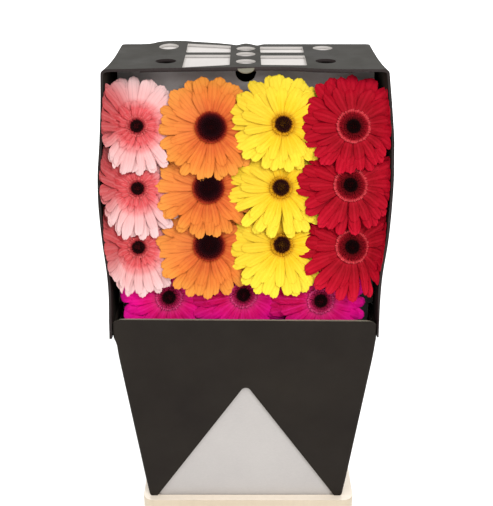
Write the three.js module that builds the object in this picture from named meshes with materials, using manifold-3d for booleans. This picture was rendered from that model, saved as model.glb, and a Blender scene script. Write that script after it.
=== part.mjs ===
// Cut gerberas in a display carton that stands on a square plastic bucket.
// Millimetres, +Z up, origin on the floor under the carton's middle, the flowers face -Y.

import * as THREE from "three";
import { mergeVertices } from "three/addons/utils/BufferGeometryUtils.js";
import Module from "manifold-3d";

// Overall sizes
const TOTAL_HEIGHT = 722;
const HALF_DEPTH = 123;
const GAP = 0.3;
const WELD_DISTANCE = 1e-3;
const CUT_MARGIN = 1;

// Bucket: the carton stands on it a little off centre
const BUCKET_SHIFT = 3;
const RIM_HEIGHT = 210;
const RIM_HALF_WIDTH = 130;
const RIM_RADIUS = 12;
const RIM_INNER_RADIUS = 8;
const RIM_LIP = 20;
const LIP_THICKNESS = 2.2;
const SIDE_FLANGE_WIDTH = 14.5;
const END_FLANGE_WIDTH = 11.7;
const FLANGE_THICKNESS = 3;
const BASE_HALF_WIDTH = 106;
const BASE_HALF_DEPTH = 100;
const BASE_RADIUS = 22;
const BUCKET_WALL = 2.5;
const BUCKET_FLOOR = 3;
const BUCKET_CORNER_STEPS = 5;

// Outer sleeve: an upright front, a back that leans out, and sides that flare and then bend upright
const SLEEVE_FOOT_Z = RIM_HEIGHT + GAP;
const SLEEVE_TOP_Z = 455;
const SLEEVE_FOOT_HALF_WIDTH = 120;
const SLEEVE_FLARE = 0.1435;
const SLEEVE_BEND_Z = 395;
const SLEEVE_UPRIGHT_Z = 445;
const SLEEVE_BEND_STEPS = 3;
const SLEEVE_FRONT_Y = -114;
const SLEEVE_FOOT_BACK_Y = 114;
const SLEEVE_TOP_BACK_Y = 119.7;
const SLEEVE_BOARD = 3;
const SLEEVE_FOLD_RADIUS = 4;
const SLEEVE_CORNER_STEPS = 2;

// Triangular cut-out in the sleeve's front
const NOTCH_APEX_Z = 370.2;
const NOTCH_SLOPE = 0.685;
const NOTCH_RADIUS = 6.1;
const NOTCH_RUN_OUT = 5;

// Inner liner: a pale collar that reaches from inside the bucket to where the sleeve's sides stand upright
const LINER_WAIST_Z = 209.5;
const LINER_WAIST_HALF_WIDTH = 111.9;
const LINER_FOOT_Z = 150;
const LINER_FOOT_HALF_WIDTH = 105;
const LINER_FOOT_HALF_DEPTH = 104;
const LINER_BOARD = 2;
const LINER_RADIUS = 8;
const LINER_CORNER_STEPS = 3;

// Hood: lid, bowed side walls and back
const LID_HALF_WIDTH = 155;
const LID_FRONT_Y = -17;
const LID_BOARD = 3;
const HOOD_WALL = 5;
const HOOD_BACK_WALL = 3;
const HOOD_BACK_Y = HALF_DEPTH - HOOD_BACK_WALL;
const HOOD_FOOT_Z = 433;
const HOOD_FOOT_HALF_WIDTH = 155.5;
const SHOULDER_DROP = 5.5;
const SHOULDER_Z = TOTAL_HEIGHT - SHOULDER_DROP;
const HOOD_LEVELS = [HOOD_FOOT_Z, SLEEVE_TOP_Z, 480, 508, 545, 590, 640, 690, SHOULDER_Z];
const HOOD_DEPTHS = [0, 0.25, 0.443, 0.636, 0.818, 1];
const BOW_FADE = 1.5;

// The lid's front edge is drawn back between its corners: place across, and how far
const LID_RECESS = [
  [-155, 0],
  [-130, 1.5],
  [-112, 3.6],
  [-75, 6.6],
  [-17, 10.2],
  [21, 11.7],
  [59, 8.7],
  [78, 3.6],
  [110, 0],
  [155, 0],
];

// The lid's back edge bulges on the left: place across, and how far up
const LID_CROWN = [
  [-155, 0],
  [-130, 0.1],
  [-118, 0.9],
  [-108, 3],
  [-94, 4.1],
  [-78, 4.1],
  [-61, 2.9],
  [-40, 1.7],
  [-19, 0],
  [155, 0],
];
const CROWN_START_Y = 72;
const LID_PLACES = [-155, -130, -118, -112, -108, -94, -78, -61, -40, -19, 21, 59, 78, 110, 155];

// Outline of the free front edge of a side wall: height and half width
const BOW = [
  [HOOD_FOOT_Z, 155.5],
  [SLEEVE_TOP_Z, 155.5],
  [498, 156.2],
  [556, 164.6],
  [610, 168.8],
  [669, 165.3],
  [TOTAL_HEIGHT, 162.6],
];
const BOW_SAMPLES = 60;

// Cut-outs in the lid: places across, and back from the lid's front corners
const WINDOWS = [
  [[-72, 9], [-18.5, 22], [-18.5, 76], [-72, 76]],
  [[17.5, 22], [70, 20], [70, 72], [17.5, 72]],
  [[-72, 89.5], [-18.5, 89.5], [-18.5, 128], [-72, 128]],
  [[17.5, 89], [70, 89], [70, 123], [17.5, 123]],
];
const HOLE_RADIUS = 12;
const CENTRE_HOLE_DEPTHS = [40, 80, 112];
const CENTRE_HOLE_RADIUS = 11.5;
const SIDE_HOLES = [
  [93, 42],
  [94.5, 115],
];

// Thumb tab at the middle of the lid's front edge
const TAB_HALF_WIDTH = 10;
const TAB_LENGTH = 8.5;
const TAB_BOARD = 1.5;
const TAB_SLOPE = THREE.MathUtils.degToRad(36);
const TAB_ROOT = 1.5;

// Lid liner: the pale under-layer that shows in the lid's windows
const LID_LINER_HALF_WIDTH = 120;
const LID_LINER_BOARD = 1.5;
const LID_LINER_FRONT_INSET = 1.5;
const LID_LINER_BACK_INSET = 5;
const LID_LINER_HOLE_RADIUS = 14;

// Flower card: a leaning board that the stems pass through
const LEAN = Math.atan2(LID_FRONT_Y - SLEEVE_FRONT_Y, TOTAL_HEIGHT - SLEEVE_TOP_Z);
const CARD_RECESS = 40;
const CARD_BOARD = 2.5;
const CARD_TOP = 8.7;
const CARD_SHOULDER = -268.1;
const CARD_BOTTOM = -326;
const CARD_HALF_WIDTH = 149.8;
const CARD_NECK_HALF_WIDTH = 144.8;
const CARD_FOOT_HALF_WIDTH = 141.4;
const STEM_HOLE_RADIUS = 6;
const STEM_HOLE_SEGMENTS = 4;
const FINGER_NOTCH_RADIUS = 12;
const FINGER_NOTCH_RISE = 2.5;

// Flowers: places are across the leaning face, and down it from the lid's front edge
const HEAD_RADIUS = 58.5;
const PETAL_THICKNESS = 2;
const PETAL_START = 1;
const PETAL_COUNT = 14;
const PETAL_NOTCH = 0.86;
const OPEN_HEAD_RINGS = [34];
const WALL_HEAD_RINGS = [24, 42];
const DISH = 3.6;
const DISH_SPAN = 1.08 * HEAD_RADIUS;
const PETAL_WALL_GAP = 2;
const ROOM_WIDENS_TO_Z = 500;
const PRESS_RUN = 12;
const BEND_RADIUS = 20;
const BEND_ANGLE = THREE.MathUtils.degToRad(70);
const BEND_RUN = 9;
const BEND_REFERENCE = -16;
const SIDE_TURN = THREE.MathUtils.degToRad(4.9);
const DOWN_TURN = THREE.MathUtils.degToRad(-10);
const COLUMNS = [
  { colour: "pink", x: -122.5, discRadius: 8.5 },
  { colour: "orange", x: -41, discRadius: 15.5 },
  { colour: "yellow", x: 42.5, discRadius: 10 },
  { colour: "red", x: 122, discRadius: 9 },
];
const ROWS = [
  { place: "top", down: 62.3, out: -10, footY: 60 },
  { place: "middle", down: 132.4, out: -10, footY: 25 },
  { place: "bottom", down: 199.4, out: -11, footY: -10 },
];
const FRONT_ROW = { down: 259.6, out: -22, footY: -45, turn: THREE.MathUtils.degToRad(2) };
const FRONT_ROW_PLACES = [
  { place: "left", x: -90 },
  { place: "centre", x: -1 },
  { place: "right", x: 87.5 },
];
const FRONT_ROW_DISC_RADIUS = 9;

// Disc: its height, and its profile as shares of its radius and height
const DISC_BASE_HEIGHT = 3;
const DISC_HEIGHT_PER_RADIUS = 0.3;
const DISC_SIDES = 12;
const DISC_PROFILE = [
  [0, 0],
  [0.9, 0],
  [1, 0.45],
  [0.72, 1],
  [0.3, 0.8],
  [0, 0.75],
];

// Stems
const STEM_RADIUS = 3.2;
const STEM_SIDES = 6;
const STEM_STEPS = 12;
const FOOT_SPREAD = 0.55;
const NECK_INSET = 3;
const BEFORE_CARD = 2;
const PAST_CARD = 8;
const TURN_BACK = 20;
const TURN_DROP = 34;
const TURN_SHARE = 0.12;
const HANG_SHARE = 0.14;
const FOOT_RISE = 30;

// Calyx: the green cup under a head
const CALYX_LENGTH = 13;
const CALYX_RADIUS = 10;
const CALYX_BELLY_RADIUS = 8.5;
const CALYX_BELLY_HEIGHT = 7.15;
const CALYX_SIDES = 10;

// Materials
const MATERIALS = {
  cream: { color: 0xe8d8bc, roughness: 0.45, metalness: 0 },
  black: { color: 0x322e2a, roughness: 0.6, metalness: 0 },
  pale: { color: 0xcdcac6, roughness: 0.75, metalness: 0 },
  grey: { color: 0x5c5b5a, roughness: 0.7, metalness: 0 },
  pink: { color: 0xe98f8d, roughness: 0.65, metalness: 0 },
  orange: { color: 0xee8638, roughness: 0.65, metalness: 0 },
  yellow: { color: 0xf5d632, roughness: 0.65, metalness: 0 },
  red: { color: 0xb3122b, roughness: 0.6, metalness: 0 },
  magenta: { color: 0xdc1388, roughness: 0.65, metalness: 0 },
  eye: { color: 0x220a0a, roughness: 0.85, metalness: 0 },
  green: { color: 0x6f9444, roughness: 0.6, metalness: 0 },
};

const library = await Module();
library.setup();

// Closed solids for joining and cutting

function solidOf(geometry) {
  const bare = geometry.index ? geometry.toNonIndexed() : geometry.clone();
  bare.deleteAttribute("normal");
  bare.deleteAttribute("uv");
  const merged = mergeVertices(bare, WELD_DISTANCE);
  return new library.Manifold(
    new library.Mesh({
      numProp: 3,
      vertProperties: merged.attributes.position.array,
      triVerts: new Uint32Array(merged.index.array),
    }),
  );
}

function geometryOf(solid) {
  const mesh = solid.getMesh();
  const geometry = new THREE.BufferGeometry();
  geometry.setAttribute("position", new THREE.BufferAttribute(mesh.vertProperties, 3));
  geometry.setIndex(new THREE.BufferAttribute(mesh.triVerts, 1));
  geometry.computeVertexNormals();
  return geometry;
}

function meshOf(name, geometry, finish) {
  const mesh = new THREE.Mesh(geometry, new THREE.MeshStandardMaterial(MATERIALS[finish]));
  mesh.name = name;
  return mesh;
}

function indexedGeometry(points, index) {
  const geometry = new THREE.BufferGeometry().setFromPoints(points);
  geometry.setIndex(index);
  geometry.computeVertexNormals();
  return geometry;
}

// A skin over loops of equal count, each anticlockwise seen from its end.
// A ring joins the last loop to the first; otherwise both ends are capped with a fan.
function loft(loops, ring = false) {
  const count = loops[0].length;
  const points = loops.flat();
  const index = [];
  const bands = ring ? loops.length : loops.length - 1;
  for (let band = 0; band < bands; band += 1) {
    const low = band * count;
    const high = ((band + 1) % loops.length) * count;
    for (let i = 0; i < count; i += 1) {
      const next = (i + 1) % count;
      index.push(low + i, low + next, high + next);
      index.push(low + i, high + next, high + i);
    }
  }
  if (!ring) {
    const start = points.push(middleOf(loops[0])) - 1;
    const end = points.push(middleOf(loops[loops.length - 1])) - 1;
    const last = (loops.length - 1) * count;
    for (let i = 0; i < count; i += 1) {
      const next = (i + 1) % count;
      index.push(start, next, i);
      index.push(end, last + i, last + next);
    }
  }
  return indexedGeometry(points, index);
}

function middleOf(loop) {
  const middle = new THREE.Vector3();
  loop.forEach((point) => middle.add(point));
  return middle.divideScalar(loop.length);
}

// A level loop of a rectangle with rounded corners, anticlockwise seen from above.
function roundedLoop(halfWidth, backY, frontY, radius, z, cornerSteps) {
  const loop = [];
  const corners = [
    [halfWidth - radius, backY - radius, 0],
    [radius - halfWidth, backY - radius, 1],
    [radius - halfWidth, frontY + radius, 2],
    [halfWidth - radius, frontY + radius, 3],
  ];
  for (const [x, y, quarter] of corners) {
    for (let step = 0; step <= cornerSteps; step += 1) {
      const angle = (quarter + step / cornerSteps) * (Math.PI / 2);
      loop.push(new THREE.Vector3(x + radius * Math.cos(angle), y + radius * Math.sin(angle), z));
    }
  }
  return loop;
}

// A flat plate: a shape in X and Y, from one height up to another.
function plate(shape, lowZ, highZ, curveSegments = 8) {
  const geometry = new THREE.ExtrudeGeometry(shape, {
    depth: highZ - lowZ,
    bevelEnabled: false,
    curveSegments,
  });
  return geometry.translate(0, 0, lowZ);
}

function disc(x, y, radius) {
  return new THREE.Shape().absarc(x, y, radius, 0, 2 * Math.PI);
}

// Bucket
function bucketGeometry() {
  const innerHalfWidth = RIM_HALF_WIDTH - SIDE_FLANGE_WIDTH;
  const innerHalfDepth = HALF_DEPTH - END_FLANGE_WIDTH;
  const level = (inset, radius, z, halfWidth = RIM_HALF_WIDTH, halfDepth = HALF_DEPTH) =>
    roundedLoop(halfWidth - inset, halfDepth - inset, inset - halfDepth, radius, z, BUCKET_CORNER_STEPS);
  const underFlange = RIM_HEIGHT - FLANGE_THICKNESS;
  const lipFoot = RIM_HEIGHT - RIM_LIP;
  const bucket = loft([
    level(0, BASE_RADIUS, 0, BASE_HALF_WIDTH, BASE_HALF_DEPTH),
    level(-BUCKET_WALL, RIM_INNER_RADIUS + BUCKET_WALL, underFlange, innerHalfWidth, innerHalfDepth),
    level(LIP_THICKNESS, RIM_RADIUS - LIP_THICKNESS, underFlange),
    level(LIP_THICKNESS, RIM_RADIUS - LIP_THICKNESS, lipFoot),
    level(0, RIM_RADIUS, lipFoot),
    level(0, RIM_RADIUS, RIM_HEIGHT),
    level(0, RIM_INNER_RADIUS, RIM_HEIGHT, innerHalfWidth, innerHalfDepth),
    level(BUCKET_WALL, BASE_RADIUS - BUCKET_WALL, BUCKET_FLOOR, BASE_HALF_WIDTH, BASE_HALF_DEPTH),
  ]);
  return bucket.translate(BUCKET_SHIFT, 0, 0);
}

// Outer sleeve

// Half width at a height: an even flare, then a bend of even curvature until the sides stand upright.
function sleeveHalfWidth(z) {
  const flare = Math.min(z, SLEEVE_BEND_Z) - SLEEVE_FOOT_Z;
  const bend = SLEEVE_UPRIGHT_Z - SLEEVE_BEND_Z;
  const share = THREE.MathUtils.clamp((z - SLEEVE_BEND_Z) / bend, 0, 1);
  return SLEEVE_FOOT_HALF_WIDTH + SLEEVE_FLARE * (flare + bend * (share - share ** 2 / 2));
}

function sleeveBackY(z) {
  return THREE.MathUtils.mapLinear(z, SLEEVE_FOOT_Z, SLEEVE_TOP_Z, SLEEVE_FOOT_BACK_Y, SLEEVE_TOP_BACK_Y);
}

// Heights where the sides change direction, from the start of the bend to its end.
function bendHeights() {
  const shares = Array.from({ length: SLEEVE_BEND_STEPS + 1 }, (_, i) => i / SLEEVE_BEND_STEPS);
  return shares.map((share) => THREE.MathUtils.lerp(SLEEVE_BEND_Z, SLEEVE_UPRIGHT_Z, share));
}

function sleeveLoop(z, inset) {
  const halfWidth = sleeveHalfWidth(z) - inset;
  const backY = sleeveBackY(z) - inset;
  const frontY = SLEEVE_FRONT_Y + inset;
  return roundedLoop(halfWidth, backY, frontY, SLEEVE_FOLD_RADIUS - inset, z, SLEEVE_CORNER_STEPS);
}

function notchShape() {
  const below = SLEEVE_FOOT_Z - NOTCH_RUN_OUT;
  const half = NOTCH_SLOPE * (NOTCH_APEX_Z - below);
  const sideAngle = Math.atan(NOTCH_SLOPE);
  const arcZ = NOTCH_APEX_Z - NOTCH_RADIUS / Math.sin(sideAngle);
  const shape = new THREE.Shape();
  shape.moveTo(-half, below);
  shape.lineTo(half, below);
  shape.absarc(0, arcZ, NOTCH_RADIUS, sideAngle, Math.PI - sideAngle);
  return shape;
}

function sleeveGeometry() {
  const heights = [SLEEVE_FOOT_Z, ...bendHeights(), SLEEVE_TOP_Z];
  const outer = heights.map((z) => sleeveLoop(z, 0));
  const inner = heights.map((z) => sleeveLoop(z, SLEEVE_BOARD)).reverse();
  const notch = plate(notchShape(), 0, 3 * SLEEVE_BOARD);
  notch.rotateX(Math.PI / 2);
  notch.translate(0, SLEEVE_FRONT_Y + 2 * SLEEVE_BOARD, 0);
  return geometryOf(solidOf(loft([...outer, ...inner], true)).subtract(solidOf(notch)));
}

// Inner liner
function linerGeometry() {
  const inset = SLEEVE_BOARD + GAP;
  const frontY = SLEEVE_FRONT_Y + inset;
  const level = (halfWidth, backY, front, z, board) => {
    const radius = LINER_RADIUS - board;
    return roundedLoop(halfWidth - board, backY - board, front + board, radius, z, LINER_CORNER_STEPS);
  };
  const inSleeve = (z, board) => level(sleeveHalfWidth(z) - inset, sleeveBackY(z) - inset, frontY, z, board);
  const levels = (board) => [
    level(LINER_FOOT_HALF_WIDTH, LINER_FOOT_HALF_DEPTH, -LINER_FOOT_HALF_DEPTH, LINER_FOOT_Z, board),
    level(LINER_WAIST_HALF_WIDTH, -frontY, frontY, LINER_WAIST_Z, board),
    ...bendHeights().map((z) => inSleeve(z, board)),
  ];
  return loft([...levels(0), ...levels(LINER_BOARD).reverse()], true);
}

// Hood
const bowCurve = new THREE.CatmullRomCurve3(BOW.map(([z, half]) => new THREE.Vector3(half, 0, z)));
const bowSamples = bowCurve.getPoints(BOW_SAMPLES);

function frontHalfWidth(z) {
  const above = bowSamples.findIndex((point) => point.z >= z);
  if (above <= 0) return bowSamples[above === 0 ? 0 : bowSamples.length - 1].x;
  const low = bowSamples[above - 1];
  const high = bowSamples[above];
  return THREE.MathUtils.mapLinear(z, low.z, high.z, low.x, high.x);
}

function backHalfWidth(z) {
  return THREE.MathUtils.mapLinear(z, HOOD_FOOT_Z, TOTAL_HEIGHT, HOOD_FOOT_HALF_WIDTH, LID_HALF_WIDTH);
}

function openingY(z) {
  const level = Math.max(z, SLEEVE_TOP_Z);
  return THREE.MathUtils.mapLinear(level, SLEEVE_TOP_Z, TOTAL_HEIGHT, SLEEVE_FRONT_Y, LID_FRONT_Y);
}

function wallPoint(z, depth, side, inset) {
  const back = backHalfWidth(z);
  const half = back + (frontHalfWidth(z) - back) * (1 - depth) ** BOW_FADE;
  const y = THREE.MathUtils.lerp(openingY(z), HALF_DEPTH, depth);
  return new THREE.Vector3(side * (half - inset), y, z);
}

// A value from a table of places and values, on the straight line between its neighbours.
function between(table, place) {
  const above = Math.max(table.findIndex(([x]) => x >= place), 1);
  const [lowX, low] = table[above - 1];
  const [highX, high] = table[above];
  return THREE.MathUtils.mapLinear(place, lowX, highX, low, high);
}

function lidFrontY(x) {
  return LID_FRONT_Y + between(LID_RECESS, x);
}

function lidTop(x, y) {
  const share = THREE.MathUtils.clamp((y - CROWN_START_Y) / (HALF_DEPTH - CROWN_START_Y), 0, 1);
  return TOTAL_HEIGHT + between(LID_CROWN, x) * share;
}

function lidPoint(x, depth, inset) {
  const half = LID_HALF_WIDTH - inset;
  const y = depth === 0 ? lidFrontY(x) : THREE.MathUtils.lerp(LID_FRONT_Y, HALF_DEPTH, depth);
  return new THREE.Vector3(THREE.MathUtils.clamp(x, -half, half), y, lidTop(x, y) - inset);
}

// Rows run from the left wall's foot over the lid to the right wall's foot.
function hoodGrid(inside) {
  const wallInset = inside ? HOOD_WALL : 0;
  const lidInset = inside ? LID_BOARD : 0;
  const wall = (side) => HOOD_LEVELS.map((z) => HOOD_DEPTHS.map((t) => wallPoint(z, t, side, wallInset)));
  const lid = LID_PLACES.map((x) => HOOD_DEPTHS.map((t) => lidPoint(x, t, lidInset)));
  return [...wall(-1), ...lid, ...wall(1).reverse()];
}

// A closed body between an outer and an inner grid of points.
function shell(outer, inner) {
  const rows = outer.length;
  const columns = outer[0].length;
  const points = [...outer.flat(), ...inner.flat()];
  const index = [];
  const at = (layer, row, column) => layer * rows * columns + row * columns + column;
  const quad = (a, b, c, d) => index.push(a, b, c, a, c, d);
  for (let r = 0; r < rows - 1; r += 1) {
    for (let c = 0; c < columns - 1; c += 1) {
      quad(at(0, r, c), at(0, r + 1, c), at(0, r + 1, c + 1), at(0, r, c + 1));
      quad(at(1, r, c), at(1, r, c + 1), at(1, r + 1, c + 1), at(1, r + 1, c));
    }
    quad(at(0, r, 0), at(1, r, 0), at(1, r + 1, 0), at(0, r + 1, 0));
    const end = columns - 1;
    quad(at(0, r, end), at(0, r + 1, end), at(1, r + 1, end), at(1, r, end));
  }
  for (let c = 0; c < columns - 1; c += 1) {
    quad(at(0, 0, c), at(0, 0, c + 1), at(1, 0, c + 1), at(1, 0, c));
    const end = rows - 1;
    quad(at(0, end, c), at(1, end, c), at(1, end, c + 1), at(0, end, c + 1));
  }
  return indexedGeometry(points, index);
}

// The back ends inside the lid's board, below its bulge.
function hoodBack() {
  const shape = new THREE.Shape([
    new THREE.Vector2(-HOOD_FOOT_HALF_WIDTH, HOOD_FOOT_Z),
    new THREE.Vector2(HOOD_FOOT_HALF_WIDTH, HOOD_FOOT_Z),
    ...LID_CROWN.toReversed().map(([x, up]) => new THREE.Vector2(x, TOTAL_HEIGHT + up - LID_BOARD / 2)),
  ]);
  return plate(shape, 0, HOOD_BACK_WALL).rotateX(Math.PI / 2).translate(0, HALF_DEPTH, 0);
}

// The half-round thumb tab that slopes down from the lid's front edge.
function thumbTab() {
  const shape = new THREE.Shape();
  shape.absellipse(0, 0, TAB_HALF_WIDTH, TAB_LENGTH, Math.PI, 2 * Math.PI);
  const tab = plate(shape, -TAB_BOARD, 0).rotateX(TAB_SLOPE);
  return tab.translate(0, lidFrontY(0) + TAB_ROOT, TOTAL_HEIGHT - GAP);
}

function lidCuts() {
  const shapes = WINDOWS.map((corners) => {
    return new THREE.Shape(corners.map(([x, depth]) => new THREE.Vector2(x, LID_FRONT_Y + depth)));
  });
  for (const side of [-1, 1]) {
    for (const [x, depth] of SIDE_HOLES) {
      shapes.push(disc(side * x, LID_FRONT_Y + depth, HOLE_RADIUS));
    }
  }
  for (const depth of CENTRE_HOLE_DEPTHS) {
    shapes.push(disc(0, LID_FRONT_Y + depth, CENTRE_HOLE_RADIUS));
  }
  const low = TOTAL_HEIGHT - LID_BOARD - CUT_MARGIN;
  const high = TOTAL_HEIGHT + Math.max(...LID_CROWN.map(([, up]) => up)) + CUT_MARGIN;
  return shapes.map((shape) => plate(shape, low, high));
}

function hoodGeometry() {
  let hood = solidOf(shell(hoodGrid(false), hoodGrid(true)));
  hood = hood.add(solidOf(hoodBack())).add(solidOf(thumbTab()));
  for (const cut of lidCuts()) {
    hood = hood.subtract(solidOf(cut));
  }
  return geometryOf(hood);
}

// Lid liner: it follows the lid's underside
function lidLinerGeometry() {
  const back = HOOD_BACK_Y - LID_LINER_BACK_INSET;
  const insideLid = LID_PLACES.filter((x) => Math.abs(x) < LID_LINER_HALF_WIDTH);
  const places = [-LID_LINER_HALF_WIDTH, ...insideLid, LID_LINER_HALF_WIDTH];
  const level = (drop) =>
    places.map((x) =>
      HOOD_DEPTHS.map((depth) => {
        const behind = Math.min(THREE.MathUtils.lerp(LID_FRONT_Y, HALF_DEPTH, depth), back);
        const y = depth === 0 ? lidFrontY(x) + LID_LINER_FRONT_INSET : behind;
        return new THREE.Vector3(x, y, lidTop(x, y) - LID_BOARD - GAP - drop);
      }),
    );
  let liner = solidOf(shell(level(0), level(LID_LINER_BOARD)));
  const [[holeX, holeDepth]] = SIDE_HOLES;
  for (const side of [-1, 1]) {
    const hole = disc(side * holeX, LID_FRONT_Y + holeDepth, LID_LINER_HOLE_RADIUS);
    liner = liner.subtract(solidOf(plate(hole, TOTAL_HEIGHT - 3 * LID_BOARD, TOTAL_HEIGHT)));
  }
  return geometryOf(liner);
}

// Flowers

// The room for petals to either side: the hood's, and below its foot the narrower liner's.
function roomAt(z) {
  const hood = frontHalfWidth(z) - HOOD_WALL;
  const liner = sleeveHalfWidth(z) - SLEEVE_BOARD - GAP - LINER_BOARD;
  return THREE.MathUtils.lerp(liner, hood, THREE.MathUtils.smoothstep(z, SLEEVE_TOP_Z, ROOM_WIDENS_TO_Z));
}

// Petals near a side wall bend forward along it. The point is in the leaning face's own axes.
function bendAtWall(point) {
  const z = TOTAL_HEIGHT + point.y * Math.cos(LEAN) + point.z * Math.sin(LEAN);
  const wall = roomAt(z) - PETAL_WALL_GAP;
  const start = wall - BEND_RADIUS * Math.sin(BEND_ANGLE) - BEND_RUN;
  const along = Math.abs(point.x) - start;
  if (along <= 0) return point;
  const angle = Math.min(along / BEND_RADIUS, BEND_ANGLE);
  const straight = Math.max(along - BEND_RADIUS * BEND_ANGLE, 0);
  const lift = point.z - BEND_REFERENCE;
  const across = BEND_RADIUS * Math.sin(angle) + straight * Math.cos(angle) - lift * Math.sin(angle);
  const out = BEND_RADIUS * (1 - Math.cos(angle)) + straight * Math.sin(angle) + lift * Math.cos(angle);
  return new THREE.Vector3(Math.sign(point.x) * (start + across), point.y, BEND_REFERENCE + out);
}

function dishAt(radius) {
  return DISH * Math.sin((Math.PI * radius) / DISH_SPAN);
}

// The front row has no room to bend forward, so its petals are only pressed together at the wall.
function pressAtWall(point) {
  const z = TOTAL_HEIGHT + point.y * Math.cos(LEAN) + point.z * Math.sin(LEAN);
  const start = roomAt(z) - PETAL_WALL_GAP - PRESS_RUN;
  const along = Math.abs(point.x) - start;
  if (along <= 0) return point;
  const across = start + PRESS_RUN * Math.tanh(along / PRESS_RUN);
  return new THREE.Vector3(Math.sign(point.x) * across, point.y, point.z);
}

// One flat whorl of ray petals as a star with a slightly dished face.
function petalsGeometry({ pose, fit }, ringRadii) {
  const points = 2 * PETAL_COUNT;
  const ring = (radiusAt, drop) => {
    const loop = [];
    for (let i = 0; i < points; i += 1) {
      const angle = (i / points) * 2 * Math.PI;
      const radius = radiusAt(i);
      const height = dishAt(radius) - drop;
      const point = new THREE.Vector3(radius * Math.cos(angle), radius * Math.sin(angle), height);
      loop.push(fit(point.applyMatrix4(pose)));
    }
    return loop;
  };
  const outline = (i) => (i % 2 === 0 ? HEAD_RADIUS : HEAD_RADIUS * PETAL_NOTCH);
  const inner = ringRadii.map((radius) => () => radius);
  const under = [...inner, outline].map((radiusAt) => ring(radiusAt, PETAL_THICKNESS));
  const over = [...inner, outline].map((radiusAt) => ring(radiusAt, 0));
  return loft([...under, ...over.reverse()]);
}

function pointsOf(geometry) {
  const place = geometry.attributes.position;
  return Array.from({ length: place.count }, (_, i) => new THREE.Vector3().fromBufferAttribute(place, i));
}

function discGeometry({ discRadius: radius, pose, fit }) {
  const height = DISC_BASE_HEIGHT + DISC_HEIGHT_PER_RADIUS * radius;
  const profile = DISC_PROFILE.map(([r, z]) => new THREE.Vector2(radius * r, height * z));
  const geometry = new THREE.LatheGeometry(profile, DISC_SIDES).rotateX(Math.PI / 2);
  geometry.translate(0, 0, dishAt(radius) + 2 * GAP);
  geometry.applyMatrix4(pose);
  return geometry.setFromPoints(pointsOf(geometry).map(fit));
}

// The stem's section, closer together where the path's own points are, at its bend.
function stemLoop(path, t) {
  const centre = path.getPoint(t);
  const along = path.getTangent(t);
  const side = new THREE.Vector3(1, 0, 0).cross(along).normalize();
  const across = side.clone().cross(along);
  return Array.from({ length: STEM_SIDES }, (_, i) => {
    const angle = (i / STEM_SIDES) * 2 * Math.PI;
    const point = centre.clone().addScaledVector(across, STEM_RADIUS * Math.cos(angle));
    return point.addScaledVector(side, STEM_RADIUS * Math.sin(angle));
  });
}

// A stem with its green calyx: back from the head, through the card, then down to the bucket's floor.
function stemGeometry({ pose, discRadius, foot: [footX, footY] }, face) {
  const seat = dishAt(discRadius + PETAL_START) - PETAL_THICKNESS - GAP;
  const toWorld = (z) => new THREE.Vector3(0, 0, z).applyMatrix4(pose).applyMatrix4(face.matrixWorld);
  const neck = toWorld(seat - NECK_INSET);
  const back = toWorld(-1).sub(toWorld(0)).normalize();
  const depthToCard = (neck.y - toWorld(0).y) / back.y;
  const atCard = neck.clone().addScaledVector(back, CARD_RECESS - BEFORE_CARD - depthToCard);
  const past = neck.clone().addScaledVector(back, CARD_RECESS + PAST_CARD - depthToCard);
  const turn = new THREE.Vector3((footX - past.x) * TURN_SHARE, TURN_BACK, -TURN_DROP);
  const turned = past.clone().add(turn);
  const hanging = turned.clone().lerp(new THREE.Vector3(footX, footY, BUCKET_FLOOR), HANG_SHARE);
  const foot = new THREE.Vector3(footX, footY, BUCKET_FLOOR + GAP);
  const aboveFoot = foot.clone().setZ(foot.z + FOOT_RISE);
  const path = new THREE.CatmullRomCurve3([neck, atCard, past, turned, hanging, aboveFoot, foot]);
  const tube = loft(Array.from({ length: STEM_STEPS + 1 }, (_, i) => stemLoop(path, i / STEM_STEPS)));
  const profile = [
    [0, 0],
    [STEM_RADIUS, 0],
    [CALYX_BELLY_RADIUS, CALYX_BELLY_HEIGHT],
    [CALYX_RADIUS, CALYX_LENGTH],
    [0, CALYX_LENGTH],
  ].map(([r, z]) => new THREE.Vector2(r, z));
  const calyx = new THREE.LatheGeometry(profile, CALYX_SIDES).rotateX(Math.PI / 2);
  calyx.translate(0, 0, seat - CALYX_LENGTH);
  calyx.applyMatrix4(pose).applyMatrix4(face.matrixWorld);
  return geometryOf(solidOf(tube).add(solidOf(calyx)));
}

// The head's own axes in the face's: places across, up and out, and a turn each way.
function headPose(x, down, out, downTurn, sideTurn) {
  const turn = new THREE.Euler(downTurn, sideTurn, 0);
  return new THREE.Matrix4().makeRotationFromEuler(turn).setPosition(x, -down, out);
}

function headList() {
  const heads = [];
  for (const column of COLUMNS) {
    for (const row of ROWS) {
      heads.push({
        name: `${column.colour}_${row.place}`,
        finish: column.colour,
        discRadius: column.discRadius,
        pose: headPose(column.x, row.down, row.out, DOWN_TURN, SIDE_TURN),
        foot: [column.x * FOOT_SPREAD, row.footY],
        fit: bendAtWall,
        nearWall: Math.abs(column.x) > LID_HALF_WIDTH / 2,
      });
    }
  }
  for (const { place, x } of FRONT_ROW_PLACES) {
    heads.push({
      name: `magenta_${place}`,
      finish: "magenta",
      discRadius: FRONT_ROW_DISC_RADIUS,
      pose: headPose(x, FRONT_ROW.down, FRONT_ROW.out, FRONT_ROW.turn, SIDE_TURN),
      foot: [x * FOOT_SPREAD, FRONT_ROW.footY],
      fit: pressAtWall,
      nearWall: Math.abs(x) > LID_HALF_WIDTH / 2,
    });
  }
  return heads;
}

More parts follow.
